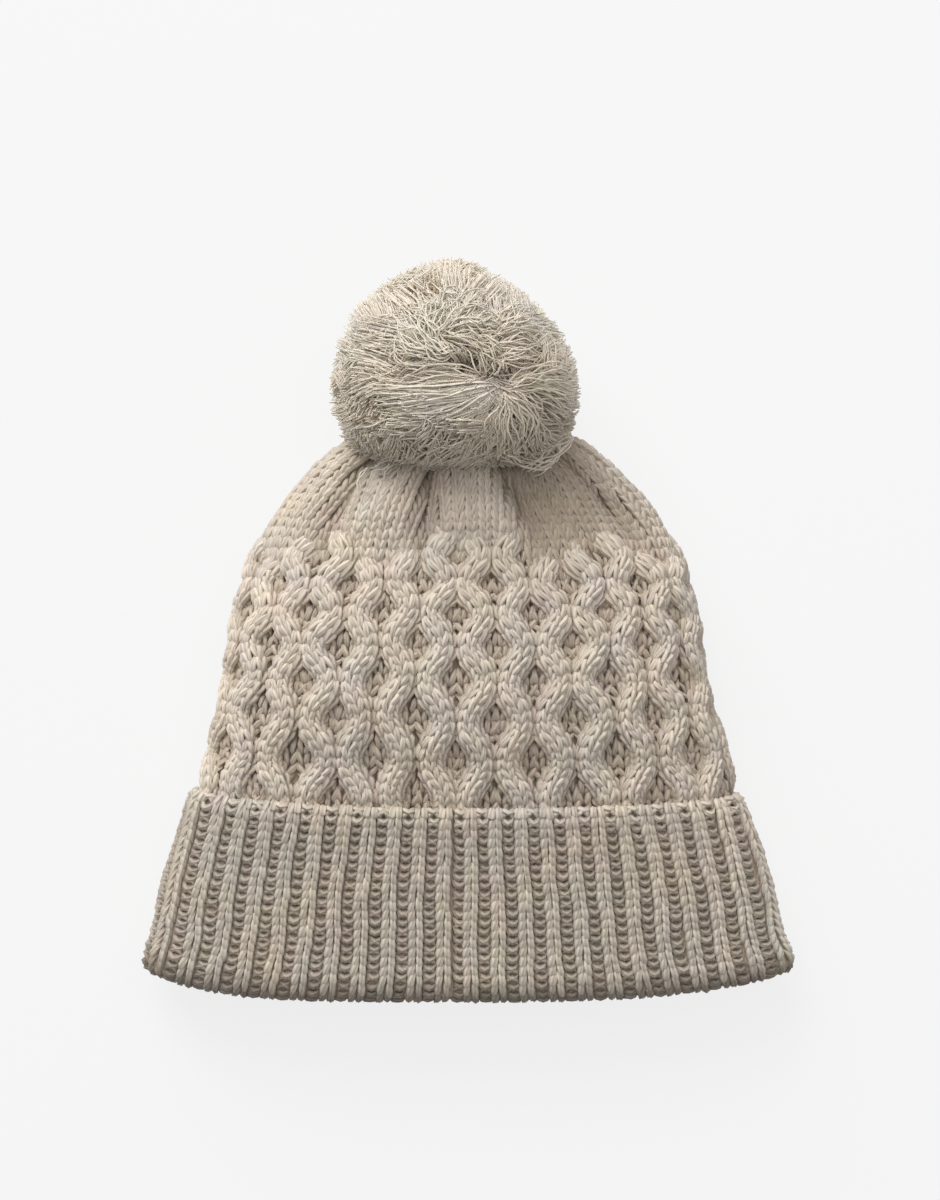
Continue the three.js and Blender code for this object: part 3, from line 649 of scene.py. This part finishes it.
def crown_shell():
    """From the inner tip down inside, round the foot, and up outside under the ropes and petals."""
    around = np.arange(LANES * 10) / (LANES * 10)
    foot = run_at(CUFF_HEIGHT - SEAM_DEPTH + 1.0)
    middle = run_at(GATHER_START)
    up = np.concatenate([np.linspace(foot, middle, 40)[:-1], np.linspace(middle, runs[-1], 26)])
    run, share = np.meshgrid(up, around, indexing="ij")
    relief = rope_relief(run, share)
    outside = surface(run, share, relief * 0.92 - GROUND_SINK)
    down = np.linspace(runs[-1] - 9, foot, 24)
    run, share = np.meshgrid(down, around, indexing="ij")
    inside = surface(run, share, -KNIT_WALL)
    inside[..., 1] -= 1.0 * ease(run, runs[-1] - 40, runs[-1] - 9)
    tip = outside[-1].mean(0) - [0, GATHER_DIMPLE, 0]
    inner_tip = inside[0].mean(0) - [0, 0.5, 0]
    # painted light share of the ground: none inside the hat, more where the ropes raise it outside
    painted_light = np.concatenate([np.zeros(inside.shape[:2]), ease(relief, 0.3 * ROPE_RISE, 0.9 * ROPE_RISE)])
    return shell("crown_ground", np.concatenate([inside, outside]), np.stack([inner_tip, tip]), painted_light)


def cuff_shell():
    """The ribbed ply's own thickness, carried along the folded path and back on its other side."""
    around = np.arange(RIBS * 4) / (RIBS * 4)
    up_again = OUTER + HEM_LENGTH
    t = np.concatenate([np.linspace(-2.6, 0, 4), np.linspace(4, OUTER, 14),
                        OUTER + HEM_LENGTH * np.linspace(0.12, 1, 8),
                        np.linspace(up_again + 6, up_again + INNER, 9)])
    tt, share = np.meshgrid(t, around, indexing="ij")
    rib = 0.5 + 0.5 * np.cos(2 * np.pi * (share * RIBS - RIB_SHIFT))
    hem = ease(tt, OUTER - 5, OUTER + HEM_LENGTH / 4)
    face = cuff_surface(tt, share, GROUND_SINK * (rib - 1) - 1.2 * hem)
    back = cuff_surface(tt[::-1], share[::-1], -RIB_WALL + 0.35)
    return shell("cuff_ground", np.concatenate([face, back])[::-1], None)


# %% [markdown]
# The pompom is thousands of thin strands tied in the middle. Tufts of cut ends stand all over the
# ball, and long strands lie over them in locks: they are swept to the left of a knot, fall below it as
# a tassel, curl in a messy crest above it and hang over the crown.

# %% The pompom's form and its tufts
POM_ABOVE, POM_BELOW, POM_HALF_WIDTH, POM_HALF_DEPTH = 48.5, 34.0, 48.3, 45.0
POM_CENTRE = np.array([-4.2, HAT_LENGTH - 13.0 + POM_BELOW, 45.0])
POM_PEAK, POM_SQUARENESS = 1.95, 2.8
STRAND = 0.42
CORE_SHARE = 0.84
KNOT, FLAT_SIDE, NOTCH = unit(np.array([[0.39, -0.15, 0.91], [0.62, 0.78, 0.1], [0.82, 0.48, 0.3]]))


def bump_towards(way, middle, height, width):
    """A round bump over directions: height e^(-(distance from its middle)^2 / width)."""
    return height * np.exp(-((way - middle) ** 2).sum(-1) / width)


def half_sizes(below):
    """Half sizes of the ball across, up and deep. It reaches less far below than above."""
    tall = np.where(below, POM_BELOW, POM_ABOVE)
    return np.stack(np.broadcast_arrays(POM_HALF_WIDTH, tall, POM_HALF_DEPTH), -1)


def on_ball(way, share):
    """A share of the way from the pompom's middle to its outer form, in a direction. With r the reach
    in plan, the form is r^p + |y|^p = 1: a little peaked above, and squarer below, where it is pressed
    on the crown. Towards the upper right it is flatter, with a notch."""
    below = way[..., 1] < 0
    power = np.where(below, POM_SQUARENESS, POM_PEAK)
    reach = np.hypot(way[..., 0], way[..., 2])
    size = (reach**power + np.abs(way[..., 1]) ** power) ** (1 / power)
    half = half_sizes(below)
    cut = bump_towards(way, FLAT_SIDE, 0.09, 0.30) + bump_towards(way, NOTCH, 0.07, 0.05)
    return POM_CENTRE + way * half * (share * (1 - cut) / size)[..., None]


def even_ways(count):
    """Directions spread evenly over a ball on a golden-angle spiral."""
    i = np.arange(count)
    level = 1 - (2 * i + 1) / count
    turn = i * np.pi * (3 - np.sqrt(5))
    flat = np.sqrt(1 - level**2)
    return np.stack([flat * np.cos(turn), level, flat * np.sin(turn)], -1)


def scatter(way, spread):
    """Directions moved a little at random."""
    return unit(way + rng.normal(0, spread, way.shape))


PARTING_LEVEL, PARTING_SLOPE, PARTING_WIDTH, PARTING_DEPTH = 0.055, 0.17, 0.055, 0.26


def parting_depth(way):
    """How far the ball is sunk along the dark parting that runs left from above the knot."""
    off = way[..., 1] - PARTING_LEVEL - PARTING_SLOPE * way[..., 0]
    within = ease(way[..., 0], -0.60, 0.05) * (1 - ease(way[..., 0], 0.16, 0.30)) * (way[..., 2] > 0)
    return PARTING_DEPTH * np.exp(-((off / PARTING_WIDTH) ** 2)) * within


TUFTS, TUFT_STRANDS, TUFT_STEPS = 260, 9400, 4
TUFT_ROOT, TUFT_EASE, STRAND_SHORTEST, TUFT_SPREAD = 0.74, 0.8, 0.945, 0.080
LEAN_RIM, LEAN_FRONT, LEAN_LOOSE = 0.10, 0.50, 0.20


def tuft_paths():
    """Cut ends all over the ball, in tufts. On the front they lie over, away from the knot, and at the
    rim they stand straight out."""
    tufts = even_ways(TUFTS)
    tuft = rng.integers(0, TUFTS, TUFT_STRANDS)
    end = scatter(tufts[tuft], TUFT_SPREAD)
    facing = np.clip(end @ KNOT, 0, 1)[:, None]
    away = end - KNOT
    away = away / (np.linalg.norm(away, axis=1, keepdims=True) + 0.45)
    lean = away * (LEAN_RIM + LEAN_FRONT * facing) + rng.normal(0, LEAN_LOOSE, (TUFTS, 3))[tuft]
    start = unit(end - lean * rng.uniform(0.5, 1.2, (len(end), 1)))
    long = (1 - 0.055 * rng.random(TUFTS))[tuft] * rng.uniform(STRAND_SHORTEST, 1.0, len(end))
    t = np.linspace(0, 1, TUFT_STEPS)
    way = unit(start[:, None] * (1 - t)[:, None] + end[:, None] * t[:, None])
    share = TUFT_ROOT + (long[:, None] - TUFT_ROOT) * t**TUFT_EASE - parting_depth(way) * 0.9
    tone = 0.55 * rng.random(TUFTS)[tuft] + 0.45 * rng.random(len(end))
    return on_ball(way, share), scatter(end, 0.3), tone


# %% The pompom's long locks
# where each lock starts and ends, as shares of the ball's half sizes to the right and up, how far it
# bends to the left of its way, how far its strands spread, their number, and how far out they lie at
# its start and end; all but the number in hundredths
LOCK_COLUMNS = ("from_x", "from_y", "to_x", "to_y", "bend", "spread", "strands", "low", "high")
LOCKS = np.array([
    (23, -5, -44, -8, -2, 5, 36, 90, 95),
    (32, -9, -68, -18, 4, 7, 44, 92, 96),
    (32, -13, -60, -30, 6, 7, 46, 93, 97),
    (33, -15, -49, -42, 7, 6, 44, 93, 98),
    (34, -17, -31, -54, 7, 5, 44, 94, 98),
    (35, -18, -7, -62, 5, 5, 30, 94, 98),
    (2, 7, -49, -6, -2, 5, 24, 86, 93),
    (38, -20, 24, -66, -4, 3, 12, 95, 101),
    (38, -20, 33, -70, -2, 3, 14, 95, 102),
    (38, -20, 43, -70, 2, 3, 14, 95, 103),
    (39, -20, 52, -65, 5, 2, 11, 95, 103),
    (40, -20, 63, -69, 7, 2, 9, 95, 103),
    (40, -18, 64, -37, 5, 2, 7, 95, 102),
    (40, -16, 72, -15, 2, 2, 7, 95, 101),
    (40, -14, 67, -2, -2, 2, 6, 94, 100),
    (42, -11, 87, 4, 4, 7, 26, 92, 97),
    (43, -14, 91, -22, 5, 9, 26, 92, 97),
    (-7, 29, 24, 3, 10, 4, 22, 90, 101),
    (-18, 32, 22, 24, 9, 3, 12, 89, 101),
    (-3, 38, 27, 46, 4, 5, 16, 90, 101),
    (5, 32, 34, 39, 4, 5, 16, 90, 101),
    (-12, 41, 22, 68, -2, 4, 10, 89, 100),
    (-15, 56, 5, 60, 7, 2, 6, 89, 101),
    (-17, 46, -27, 53, 4, 3, 8, 89, 100),
    (-20, 17, -27, 46, -2, 3, 12, 89, 100),
    (-15, 20, -44, 42, 5, 4, 10, 89, 100),
    (-20, 15, -43, 30, 4, 4, 12, 90, 100),
    (0, 20, -23, 28, 4, 5, 14, 91, 100),
    (17, 15, 62, 25, 3, 4, 16, 90, 100),
    (20, 7, 60, 13, 3, 5, 18, 90, 100),
    (28, 28, 57, 45, 3, 5, 14, 89, 100),
    (34, 32, 48, 57, -2, 5, 12, 89, 100),
    (11, 20, 34, 21, 5, 5, 16, 91, 101),
    (23, 20, 29, 0, 4, 2, 12, 92, 101),
    (-27, 24, -8, 56, 5, 6, 12, 89, 99),
    (-37, -37, -27, -64, 10, 2, 7, 95, 101),
    (-15, -41, -28, -77, 6, 2, 8, 95, 102),
    (11, -54, -5, -78, 10, 2, 8, 95, 102),
    (-7, -44, -19, -78, 3, 3, 9, 95, 102),
    (-20, -77, -14, -76, -11, 1, 3, 98, 104),
    (-47, -39, -65, -60, 4, 4, 10, 94, 99),
    (-33, -78, -67, -95, 2, 2, 3, 99, 103),
    (-67, -93, -64, -120, -2, 2, 2, 100, 105),
    (-42, -81, -60, -99, 2, 2, 4, 98, 103),
    (79, -64, 54, -100, 5, 3, 4, 99, 103),
    (90, -62, 50, -84, 5, 5, 5, 99, 103),
    (38, -79, 75, -90, -5, 4, 4, 99, 103),
    (34, -73, 50, -90, -4, 3, 4, 99, 103),
]) / [100, 100, 100, 100, 100, 100, 1, 100, 100]
LOCK_STEPS, UNDER_LEVEL, TASSEL_TONE = 8, 0.05, 1.1
SLOW_WAVE, SLOW_PACE, QUICK_WAVE, QUICK_PACE = 0.030, 4.5, 0.013, 11


def lock_paths():
    """The middle line of a lock is a parabola from its start to its end. Its strands lie apart by the
    spread, less at the start, and curl a little on two slow waves."""
    row = dict(zip(LOCK_COLUMNS, np.repeat(LOCKS, LOCKS[:, 6].astype(int), axis=0).T))
    count = len(row["bend"])
    t = np.linspace(0, 1, LOCK_STEPS) * rng.uniform(0.78, 1.06, (count, 1))
    start = np.stack([row["from_x"], row["from_y"]], -1) + rng.normal(0, 0.013, (count, 2))
    step = np.stack([row["to_x"], row["to_y"]], -1) - start
    to_left = np.stack([-step[:, 1], step[:, 0]], -1) / np.linalg.norm(step, axis=1)[:, None]
    apart = rng.normal(0, 0.8, count)[:, None]
    phase = rng.uniform(0, 2 * np.pi, (count, 2))
    waves = SLOW_WAVE * (np.sin(SLOW_PACE * t + phase[:, :1]) - np.sin(phase[:, :1]))
    waves += QUICK_WAVE * (np.sin(QUICK_PACE * t + phase[:, 1:]) - np.sin(phase[:, 1:]))
    bend = row["bend"] + rng.normal(0, 0.03, count)
    apart = 1.15 * apart * row["spread"][:, None] * t**0.8
    sideways = bend[:, None] * 4 * t * (1 - t) + apart + waves
    place = start[:, None] + step[:, None] * t[..., None] + to_left[:, None] * sideways[..., None]
    level = np.sqrt(np.clip(1 - (place**2).sum(-1), UNDER_LEVEL, 1))
    share = row["low"][:, None] * (1 - t) + row["high"][:, None] * t + 0.10 * t * (1 - t)
    share = share * rng.uniform(0.96, 1.02, (count, 1))
    paths = np.stack([place[..., 0], place[..., 1], level], -1) * half_sizes(place[..., 1] < 0)
    paths = POM_CENTRE + paths * share[..., None]
    tassel = (row["to_x"] > 0.2) & (row["to_y"] < -0.3)
    ups = scatter(np.tile([0.0, 0.0, 1.0], (count, 1)), 0.3)
    return paths, ups, rng.random(count) + TASSEL_TONE * tassel


def pompom_strands(name, paths, ups, tones, thick):
    """Strands of one thin ply, thinning at the cut end. Those under the table's level are left out."""
    keep = paths[:, -1, 2] > -1
    paths, ups, tones = clear_of_crown(paths[keep]), ups[keep], tones[keep]
    radii = np.interp(np.linspace(0, 1, paths.shape[1]), [0, 0.2, 0.8, 1], [0.8, 1, 1, 0.55])
    radii = radii * STRAND * thick * rng.uniform(0.8, 1.2, (len(paths), 1))
    tip = (paths[:, -1] - POM_CENTRE) / [POM_HALF_WIDTH, POM_ABOVE, POM_HALF_DEPTH]
    # painted light: lighter towards the window at the upper left; painted shade: browner in the parting
    high = 0.88 + 0.25 * tip[:, 1] - 0.15 * tip[:, 0] - 5.0 * parting_depth(unit(tip))
    return tube_mesh(name, paths, radii, ups, 3, tones, np.clip(high, 0, 1))


ABOVE_TOP, CLEARANCE = 1.5, 0.8


def clear_of_crown(paths):
    """Strands that would run through the crown's top are pushed out of it: below the top, a point
    inside the crown's outline is lifted to the crown's own surface and a little more."""
    points = paths.copy()
    run = run_at(np.clip(points[..., 1], 0, HAT_LENGTH))
    half_left, half_right = np.interp(run, runs, left), np.interp(run, runs, right)
    tall = np.interp(run, runs, depth) * BODY_DEPTH
    middle = np.interp(run, runs, rise) * BODY_DEPTH + WAIST * tall
    x = points[..., 0] / (np.where(points[..., 0] < 0, half_left, half_right) + PETAL_RISE)
    over = (points[..., 1] < HAT_LENGTH + ABOVE_TOP) & (np.abs(x) < 1)
    dome = np.sqrt(np.clip(1 - x**2, 0, 1))
    front = middle + ((1 - WAIST) * tall + PETAL_RISE) * dome
    rear = middle - (WAIST * tall + PETAL_RISE) * dome
    z = points[..., 2]
    lifted = np.where(z > middle, np.maximum(z, front + CLEARANCE), np.minimum(z, rear - CLEARANCE))
    points[..., 2] = np.where(over, lifted, z)
    return points


def pompom_core():
    """The dense inside: the outer form at five sixths of its size, with low lumps."""
    across_ball, up_ball = 72, 48
    a = 2 * np.pi * np.arange(across_ball) / across_ball
    b = np.pi * (np.arange(up_ball) + 0.5) / up_ball
    bb, aa = np.meshgrid(b, a, indexing="ij")
    way = np.stack([np.sin(bb) * np.cos(aa), np.cos(bb), np.sin(bb) * np.sin(aa)], -1)
    lumps = 0.02 * np.sin(7 * way[..., 0] + 3) * np.sin(9 * way[..., 1]) * np.sin(8 * way[..., 2] + 1)
    points = clear_of_crown(on_ball(way, CORE_SHARE + lumps - parting_depth(way)))
    tips = clear_of_crown(on_ball(np.array([[0.0, 1, 0], [0.0, -1, 0]]), np.full(2, CORE_SHARE)))
    return shell("pompom_core", points, tips)


# %% [markdown]
# Two effects are shared by every yarn here, so each is a node group: the twist of the plies along a
# strand with the fine fibres on it, and the drift of tone over the hat with its painted shade.

# %% Shared effects as node groups
def new_group(name, inputs, outputs):
    """A shader node group with named inputs and outputs, and its two end nodes."""
    group = bpy.data.node_groups.new(name, "ShaderNodeTree")
    for label, value in inputs.items():
        kind = "NodeSocketColor" if isinstance(value, tuple) else "NodeSocketFloat"
        group.interface.new_socket(label, in_out="INPUT", socket_type=kind).default_value = value
    for label, kind in outputs.items():
        group.interface.new_socket(label, in_out="OUTPUT", socket_type=kind)
    return group, group.nodes.new("NodeGroupInput"), group.nodes.new("NodeGroupOutput")


def node(tree, kind, links=None, **settings):
    """A node with its settings, and each named input linked to a socket or set to a value."""
    made = tree.nodes.new(kind)
    for key, value in settings.items():
        setattr(made, key, value)
    for key, value in (links or {}).items():
        if isinstance(value, bpy.types.NodeSocket):
            tree.links.new(value, made.inputs[key])
        else:
            made.inputs[key].default_value = value
    return made


def maths(tree, operation, first, second=0.0):
    """The sum, product or the like of two sockets or numbers."""
    return node(tree, "ShaderNodeMath", {0: first, 1: second}, operation=operation).outputs[0]


def remap(tree, value, low, high, new_low=0.0, new_high=1.0):
    """A value carried from one range to another."""
    links = {0: value, 1: low, 2: high, 3: new_low, 4: new_high}
    return node(tree, "ShaderNodeMapRange", links).outputs[0]


def mixed(tree, share, first, second, **settings):
    """A share of the second colour over the first."""
    links = {0: share, 6: first, 7: second}
    return node(tree, "ShaderNodeMix", links, data_type="RGBA", **settings).outputs[2]


def noise(tree, scale, detail):
    """A noise over the object's own space."""
    place = node(tree, "ShaderNodeTexCoord").outputs["Object"]
    return node(tree, "ShaderNodeTexNoise", {"Vector": place, "Scale": scale, "Detail": detail})


def attribute(tree, name):
    """A value that the mesh carries at each point."""
    return node(tree, "ShaderNodeAttribute", attribute_name=name).outputs["Fac"]


def yarn_twist_group():
    """Plies wound round a strand: a wave over u * turns + v * plies, and fibres as a fine noise."""
    group, start, end = new_group("yarn twist", {"Turns": 2.0, "Plies": 2.0, "Fibre": 0.5},
                                  {"Height": "NodeSocketFloat", "Groove": "NodeSocketFloat"})
    uv = node(group, "ShaderNodeUVMap", uv_map="strand").outputs[0]
    u, v, _ = node(group, "ShaderNodeSeparateXYZ", {0: uv}).outputs
    wound = maths(group, "ADD", maths(group, "MULTIPLY", u, start.outputs["Turns"]),
                  maths(group, "MULTIPLY", v, start.outputs["Plies"]))
    wave = maths(group, "COSINE", maths(group, "MULTIPLY", wound, 2 * math.pi))
    ridge = remap(group, wave, -1.0, 0.4)
    fibre = maths(group, "MULTIPLY", noise(group, 2600.0, 2.0).outputs[0], start.outputs["Fibre"])
    group.links.new(maths(group, "ADD", ridge, fibre), end.inputs["Height"])
    group.links.new(ridge, end.inputs["Groove"])
    return group


def tone_drift_group():
    """Colour of the wool: a warm and a cool tone drift over the hat, painted shade mixes in the shaded
    colour where the high value is low, and each strand is a little lighter or darker than the next,
    with painted shade in its tone at the hem and in the folds."""
    inputs = {"Light": (0.6, 0.5, 0.4, 1), "Cool": (0.5, 0.5, 0.4, 1), "Deep": (0.3, 0.2, 0.15, 1),
              "Spread": 0.2}
    group, start, end = new_group("wool tone", inputs, {"Color": "NodeSocketColor"})
    cool = remap(group, noise(group, 38.0, 3.0).outputs[0], 0.35, 0.68)
    drifting = mixed(group, cool, start.outputs["Light"], start.outputs["Cool"])
    # painted shade: where the high value is low, up to 0.75 of the shaded colour is mixed in
    low = remap(group, attribute(group, "high"), 0.0, 1.0, 0.75, 0.0)
    shaded_colour = mixed(group, low, drifting, start.outputs["Deep"])
    hue = noise(group, 75.0, 2.0).outputs["Color"]
    hued = mixed(group, 0.14, shaded_colour, hue, blend_type="SOFT_LIGHT")
    centred = maths(group, "SUBTRACT", attribute(group, "tone"), 0.5)
    value = maths(group, "ADD", maths(group, "MULTIPLY", centred, start.outputs["Spread"]), 1.0)
    lit = node(group, "ShaderNodeHueSaturation", {"Value": value, "Color": hued})
    group.links.new(lit.outputs[0], end.inputs["Color"])
    return group


YARN_TWIST, TONE_DRIFT = yarn_twist_group(), tone_drift_group()


def use(tree, group, **values):
    """A group placed in a material with its own values."""
    made = tree.nodes.new("ShaderNodeGroup")
    made.node_tree = group
    for key, value in values.items():
        made.inputs[key].default_value = value
    return made


# %% [markdown]
# Each yarn then is one Principled surface. The groups feed its colour and its bump, while roughness
# and sheen are numbers on the shader itself.

# %% The yarns
def principled(name, roughness, specular):
    """A material with its node tree and its shader."""
    material = bpy.data.materials.new(name)
    material.use_nodes = True
    shader = material.node_tree.nodes["Principled BSDF"]
    shader.inputs["Roughness"].default_value = roughness
    shader.inputs["Specular IOR Level"].default_value = specular
    return material, material.node_tree, shader


def bump(tree, shader, strength, distance, height, invert=False):
    """A bump of so many millimetres on the shader's normal."""
    links = {"Strength": strength, "Distance": distance * MM, "Height": height}
    made = node(tree, "ShaderNodeBump", links, invert=invert)
    tree.links.new(made.outputs[0], shader.inputs["Normal"])


def yarn_material(name, light, cool, shaded_colour, spread, turns, plies, relief, groove_shade):
    """Matte wool: toned colour with painted shade in the grooves between plies, and a bump of plies
    and fibres.
    """
    material, tree, shader = principled(name, 0.92, 0.2)
    shader.inputs["Sheen Weight"].default_value = 0.25
    shader.inputs["Sheen Roughness"].default_value = 0.6
    twist = use(tree, YARN_TWIST, Turns=turns, Plies=plies, Fibre=0.9)
    tone = use(tree, TONE_DRIFT, Light=(*light, 1), Cool=(*cool, 1), Deep=(*shaded_colour, 1), Spread=spread)
    # painted shade in the grooves between the plies
    shade = remap(tree, twist.outputs["Groove"], 0.0, 1.0, 1 - groove_shade, 1.0)
    dark = mixed(tree, 1.0, tone.outputs[0], shade, blend_type="MULTIPLY")
    tree.links.new(dark, shader.inputs["Base Color"])
    bump(tree, shader, 0.7, relief, twist.outputs["Height"])
    return material


def ground_material(name, light, shaded_colour, lit_colour):
    """The backs of the loops: mottled wool darkened as painted shade, with a small grainy bump, and
    lighter as painted light where the ropes raise it.
    """
    material, tree, shader = principled(name, 0.95, 0.1)
    place = node(tree, "ShaderNodeTexCoord").outputs["Object"]
    loops = node(tree, "ShaderNodeTexVoronoi", {"Vector": place, "Scale": 330.0}).outputs["Distance"]
    tint = mixed(tree, loops, (*light, 1), (*shaded_colour, 1))
    tree.links.new(mixed(tree, attribute(tree, "high"), tint, (*lit_colour, 1)), shader.inputs["Base Color"])
    bump(tree, shader, 0.8, 0.8, loops, invert=True)
    return material


# each yarn's dark third colour is painted shade, mixed in where stitches lie in shadow
cable_yarn = yarn_material("cable_yarn", light=(0.80, 0.685, 0.555), cool=(0.74, 0.665, 0.575),
                           shaded_colour=(0.47, 0.365, 0.265), spread=0.16, turns=0.5, plies=5, relief=0.26,
                           groove_shade=0.22)
rib_yarn = yarn_material("rib_yarn", light=(0.76, 0.655, 0.53), cool=(0.69, 0.625, 0.54),
                         shaded_colour=(0.32, 0.25, 0.185), spread=0.20, turns=0.6, plies=5, relief=0.30,
                         groove_shade=0.28)
pompom_yarn = yarn_material("pompom_yarn", light=(0.88, 0.79, 0.65), cool=(0.83, 0.77, 0.67),
                            shaded_colour=(0.42, 0.33, 0.23), spread=0.16, turns=5.0, plies=1, relief=0.1,
                            groove_shade=0.08)
# the ground and the pompom's core are darker copies of the wool as painted shade, the ground with
# lighter painted light where the ropes raise it
shaded_ground_wool = ground_material("shaded_ground_wool", (0.52, 0.42, 0.32), (0.36, 0.28, 0.21), (0.70, 0.60, 0.48))
shaded_core_wool = ground_material("shaded_core_wool", (0.68, 0.57, 0.43), (0.52, 0.41, 0.29), (0.74, 0.64, 0.52))

# %% Knit the crown
def finish_piece(piece, material, node_name):
    """The piece gets its yarn, rides with the hat and stands for its plain solid."""
    piece.data.materials.append(material)
    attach(piece, "root")
    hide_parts(node_name)


FACES_BACK = -0.2  # legs whose upward direction points down by more than this belong to the back


def crown_pieces(name, parts, front_sides, back_sides):
    """One set of legs made into a front and a back piece, each with its own count of sides."""
    back = parts[2][:, 2] < FACES_BACK
    for label, chosen, sides in (("front", ~back, front_sides), ("back", back, back_sides)):
        paths, radii, ups, tones, painted_light = [part[chosen] for part in parts]
        piece = tube_mesh(f"{name}_{label}", paths, radii, ups, sides, tones, painted_light)
        finish_piece(piece, cable_yarn, "crown")


finish_piece(crown_shell(), shaded_ground_wool, "crown")
lanes = np.arange(LANES)
rope_rows = np.arange(CUFF_HEIGHT - SEAM_DEPTH + 1, crossing_height(CROSSINGS + 1.4), ROPE_ROW)
steps = step_at(rope_rows, -1, CROSSINGS + 2, 400)
crown_pieces("ropes", cable_legs(True, lanes, steps), 5, 3)
crown_pieces("partners", cable_legs(False, lanes, steps), 4, 3)
crown_pieces("gathers", gather_legs(), 5, 4)

# %% Knit the cuff
finish_piece(cuff_shell(), shaded_ground_wool, "cuff")
outer_rows = np.arange(-2.2, OUTER + HEM_LENGTH * 0.55, RIB_ROW)
inner_rows = np.arange(outer_rows[-1] + RIB_ROW, OUTER + HEM_LENGTH + INNER - 2, RIB_ROW)
for place, rows, knit_sides, purl_sides in (("outer", outer_rows, 5, 4), ("inner", inner_rows, 3, 3)):
    knit, purl = rib_stitches(rows, place == "inner")
    for stitch, parts, sides in (("knit", knit, knit_sides), ("purl", purl, purl_sides)):
        paths, radii, ups, tones, painted_light = parts
        piece = tube_mesh(f"rib_{stitch}_{place}_all", paths, radii, ups, sides, tones, painted_light)
        finish_piece(piece, rib_yarn, "cuff")

# %% Tie the pompom
finish_piece(pompom_core(), shaded_core_wool, "pompom")
tuft_parts = tuft_paths()
tuft_right = tuft_parts[0][:, -1, 0] > POM_CENTRE[0]
for label, chosen in (("right", tuft_right), ("left", ~tuft_right)):
    piece = pompom_strands(f"pompom_tufts_{label}", *[part[chosen] for part in tuft_parts], 1.0)
    finish_piece(piece, pompom_yarn, "pompom")
finish_piece(pompom_strands("pompom_locks", *lock_paths(), 0.95), pompom_yarn, "pompom")

# %% [markdown]
# The hat was photographed on a white table from straight above, under soft light from the upper left.

# %% Table, light and camera
bpy.context.scene.view_settings.view_transform = "Standard"
world = bpy.data.worlds.new("soft room")
world.use_nodes = True
room = world.node_tree.nodes["Background"]
room.inputs["Color"].default_value = (1.0, 1.0, 1.0, 1)
room.inputs["Strength"].default_value = 0.30
bpy.context.scene.world = world


def area_light(name, place, size, power):
    """A square soft light that faces the hat."""
    data = bpy.data.lights.new(name, "AREA")
    data.size, data.energy = size, power
    light = placed(name, data)
    light.location = place
    light.rotation_euler = (-Vector(place)).to_track_quat("-Z", "Y").to_euler()


area_light("window", (-1.10, 2.80, 1.90), size=2.4, power=107)
area_light("ceiling", (0.30, 0.55, 1.90), size=1.6, power=10)

TABLE_REACH, TABLE_GREY, TABLE_GLOW = 6.0, 0.12, 0.80
corners = [(x * TABLE_REACH, y * TABLE_REACH, 0) for x, y in ((-1, -1), (1, -1), (1, 1), (-1, 1))]
table_mesh = bpy.data.meshes.new("table_top")
table_mesh.from_pydata(corners, [], [(0, 1, 2, 3)])
table_paint, _, table_shader = principled("table_paint", 0.9, 0.5)
table_shader.inputs["Base Color"].default_value = (TABLE_GREY, TABLE_GREY, TABLE_GREY, 1)
table_shader.inputs["Emission Color"].default_value = (1, 1, 1, 1)
table_shader.inputs["Emission Strength"].default_value = TABLE_GLOW
table_mesh.materials.append(table_paint)
placed("table_top", table_mesh)

# the photograph is 940 by 1200 pixels, and one pixel is 0.38 mm at the height of the hat's side folds
PIXEL, PHOTO_HIGH = 0.38, 1200
EYE_HEIGHT, FOLD_HEIGHT = 1150.0, 25.0
IMAGE_CENTRE = np.array([470.0, 600.0])
BOX_CENTRE_PIXEL = np.array([467.5, 630.0])
camera_data = bpy.data.cameras.new("camera")
camera_data.lens = camera_data.sensor_width * (EYE_HEIGHT - FOLD_HEIGHT) / (PHOTO_HIGH * PIXEL)
camera = placed("camera", camera_data)
offset = (IMAGE_CENTRE - BOX_CENTRE_PIXEL) * PIXEL * [1, -1]
camera.location = (offset[0] * MM, offset[1] * MM, EYE_HEIGHT * MM)
bpy.context.scene.camera = camera
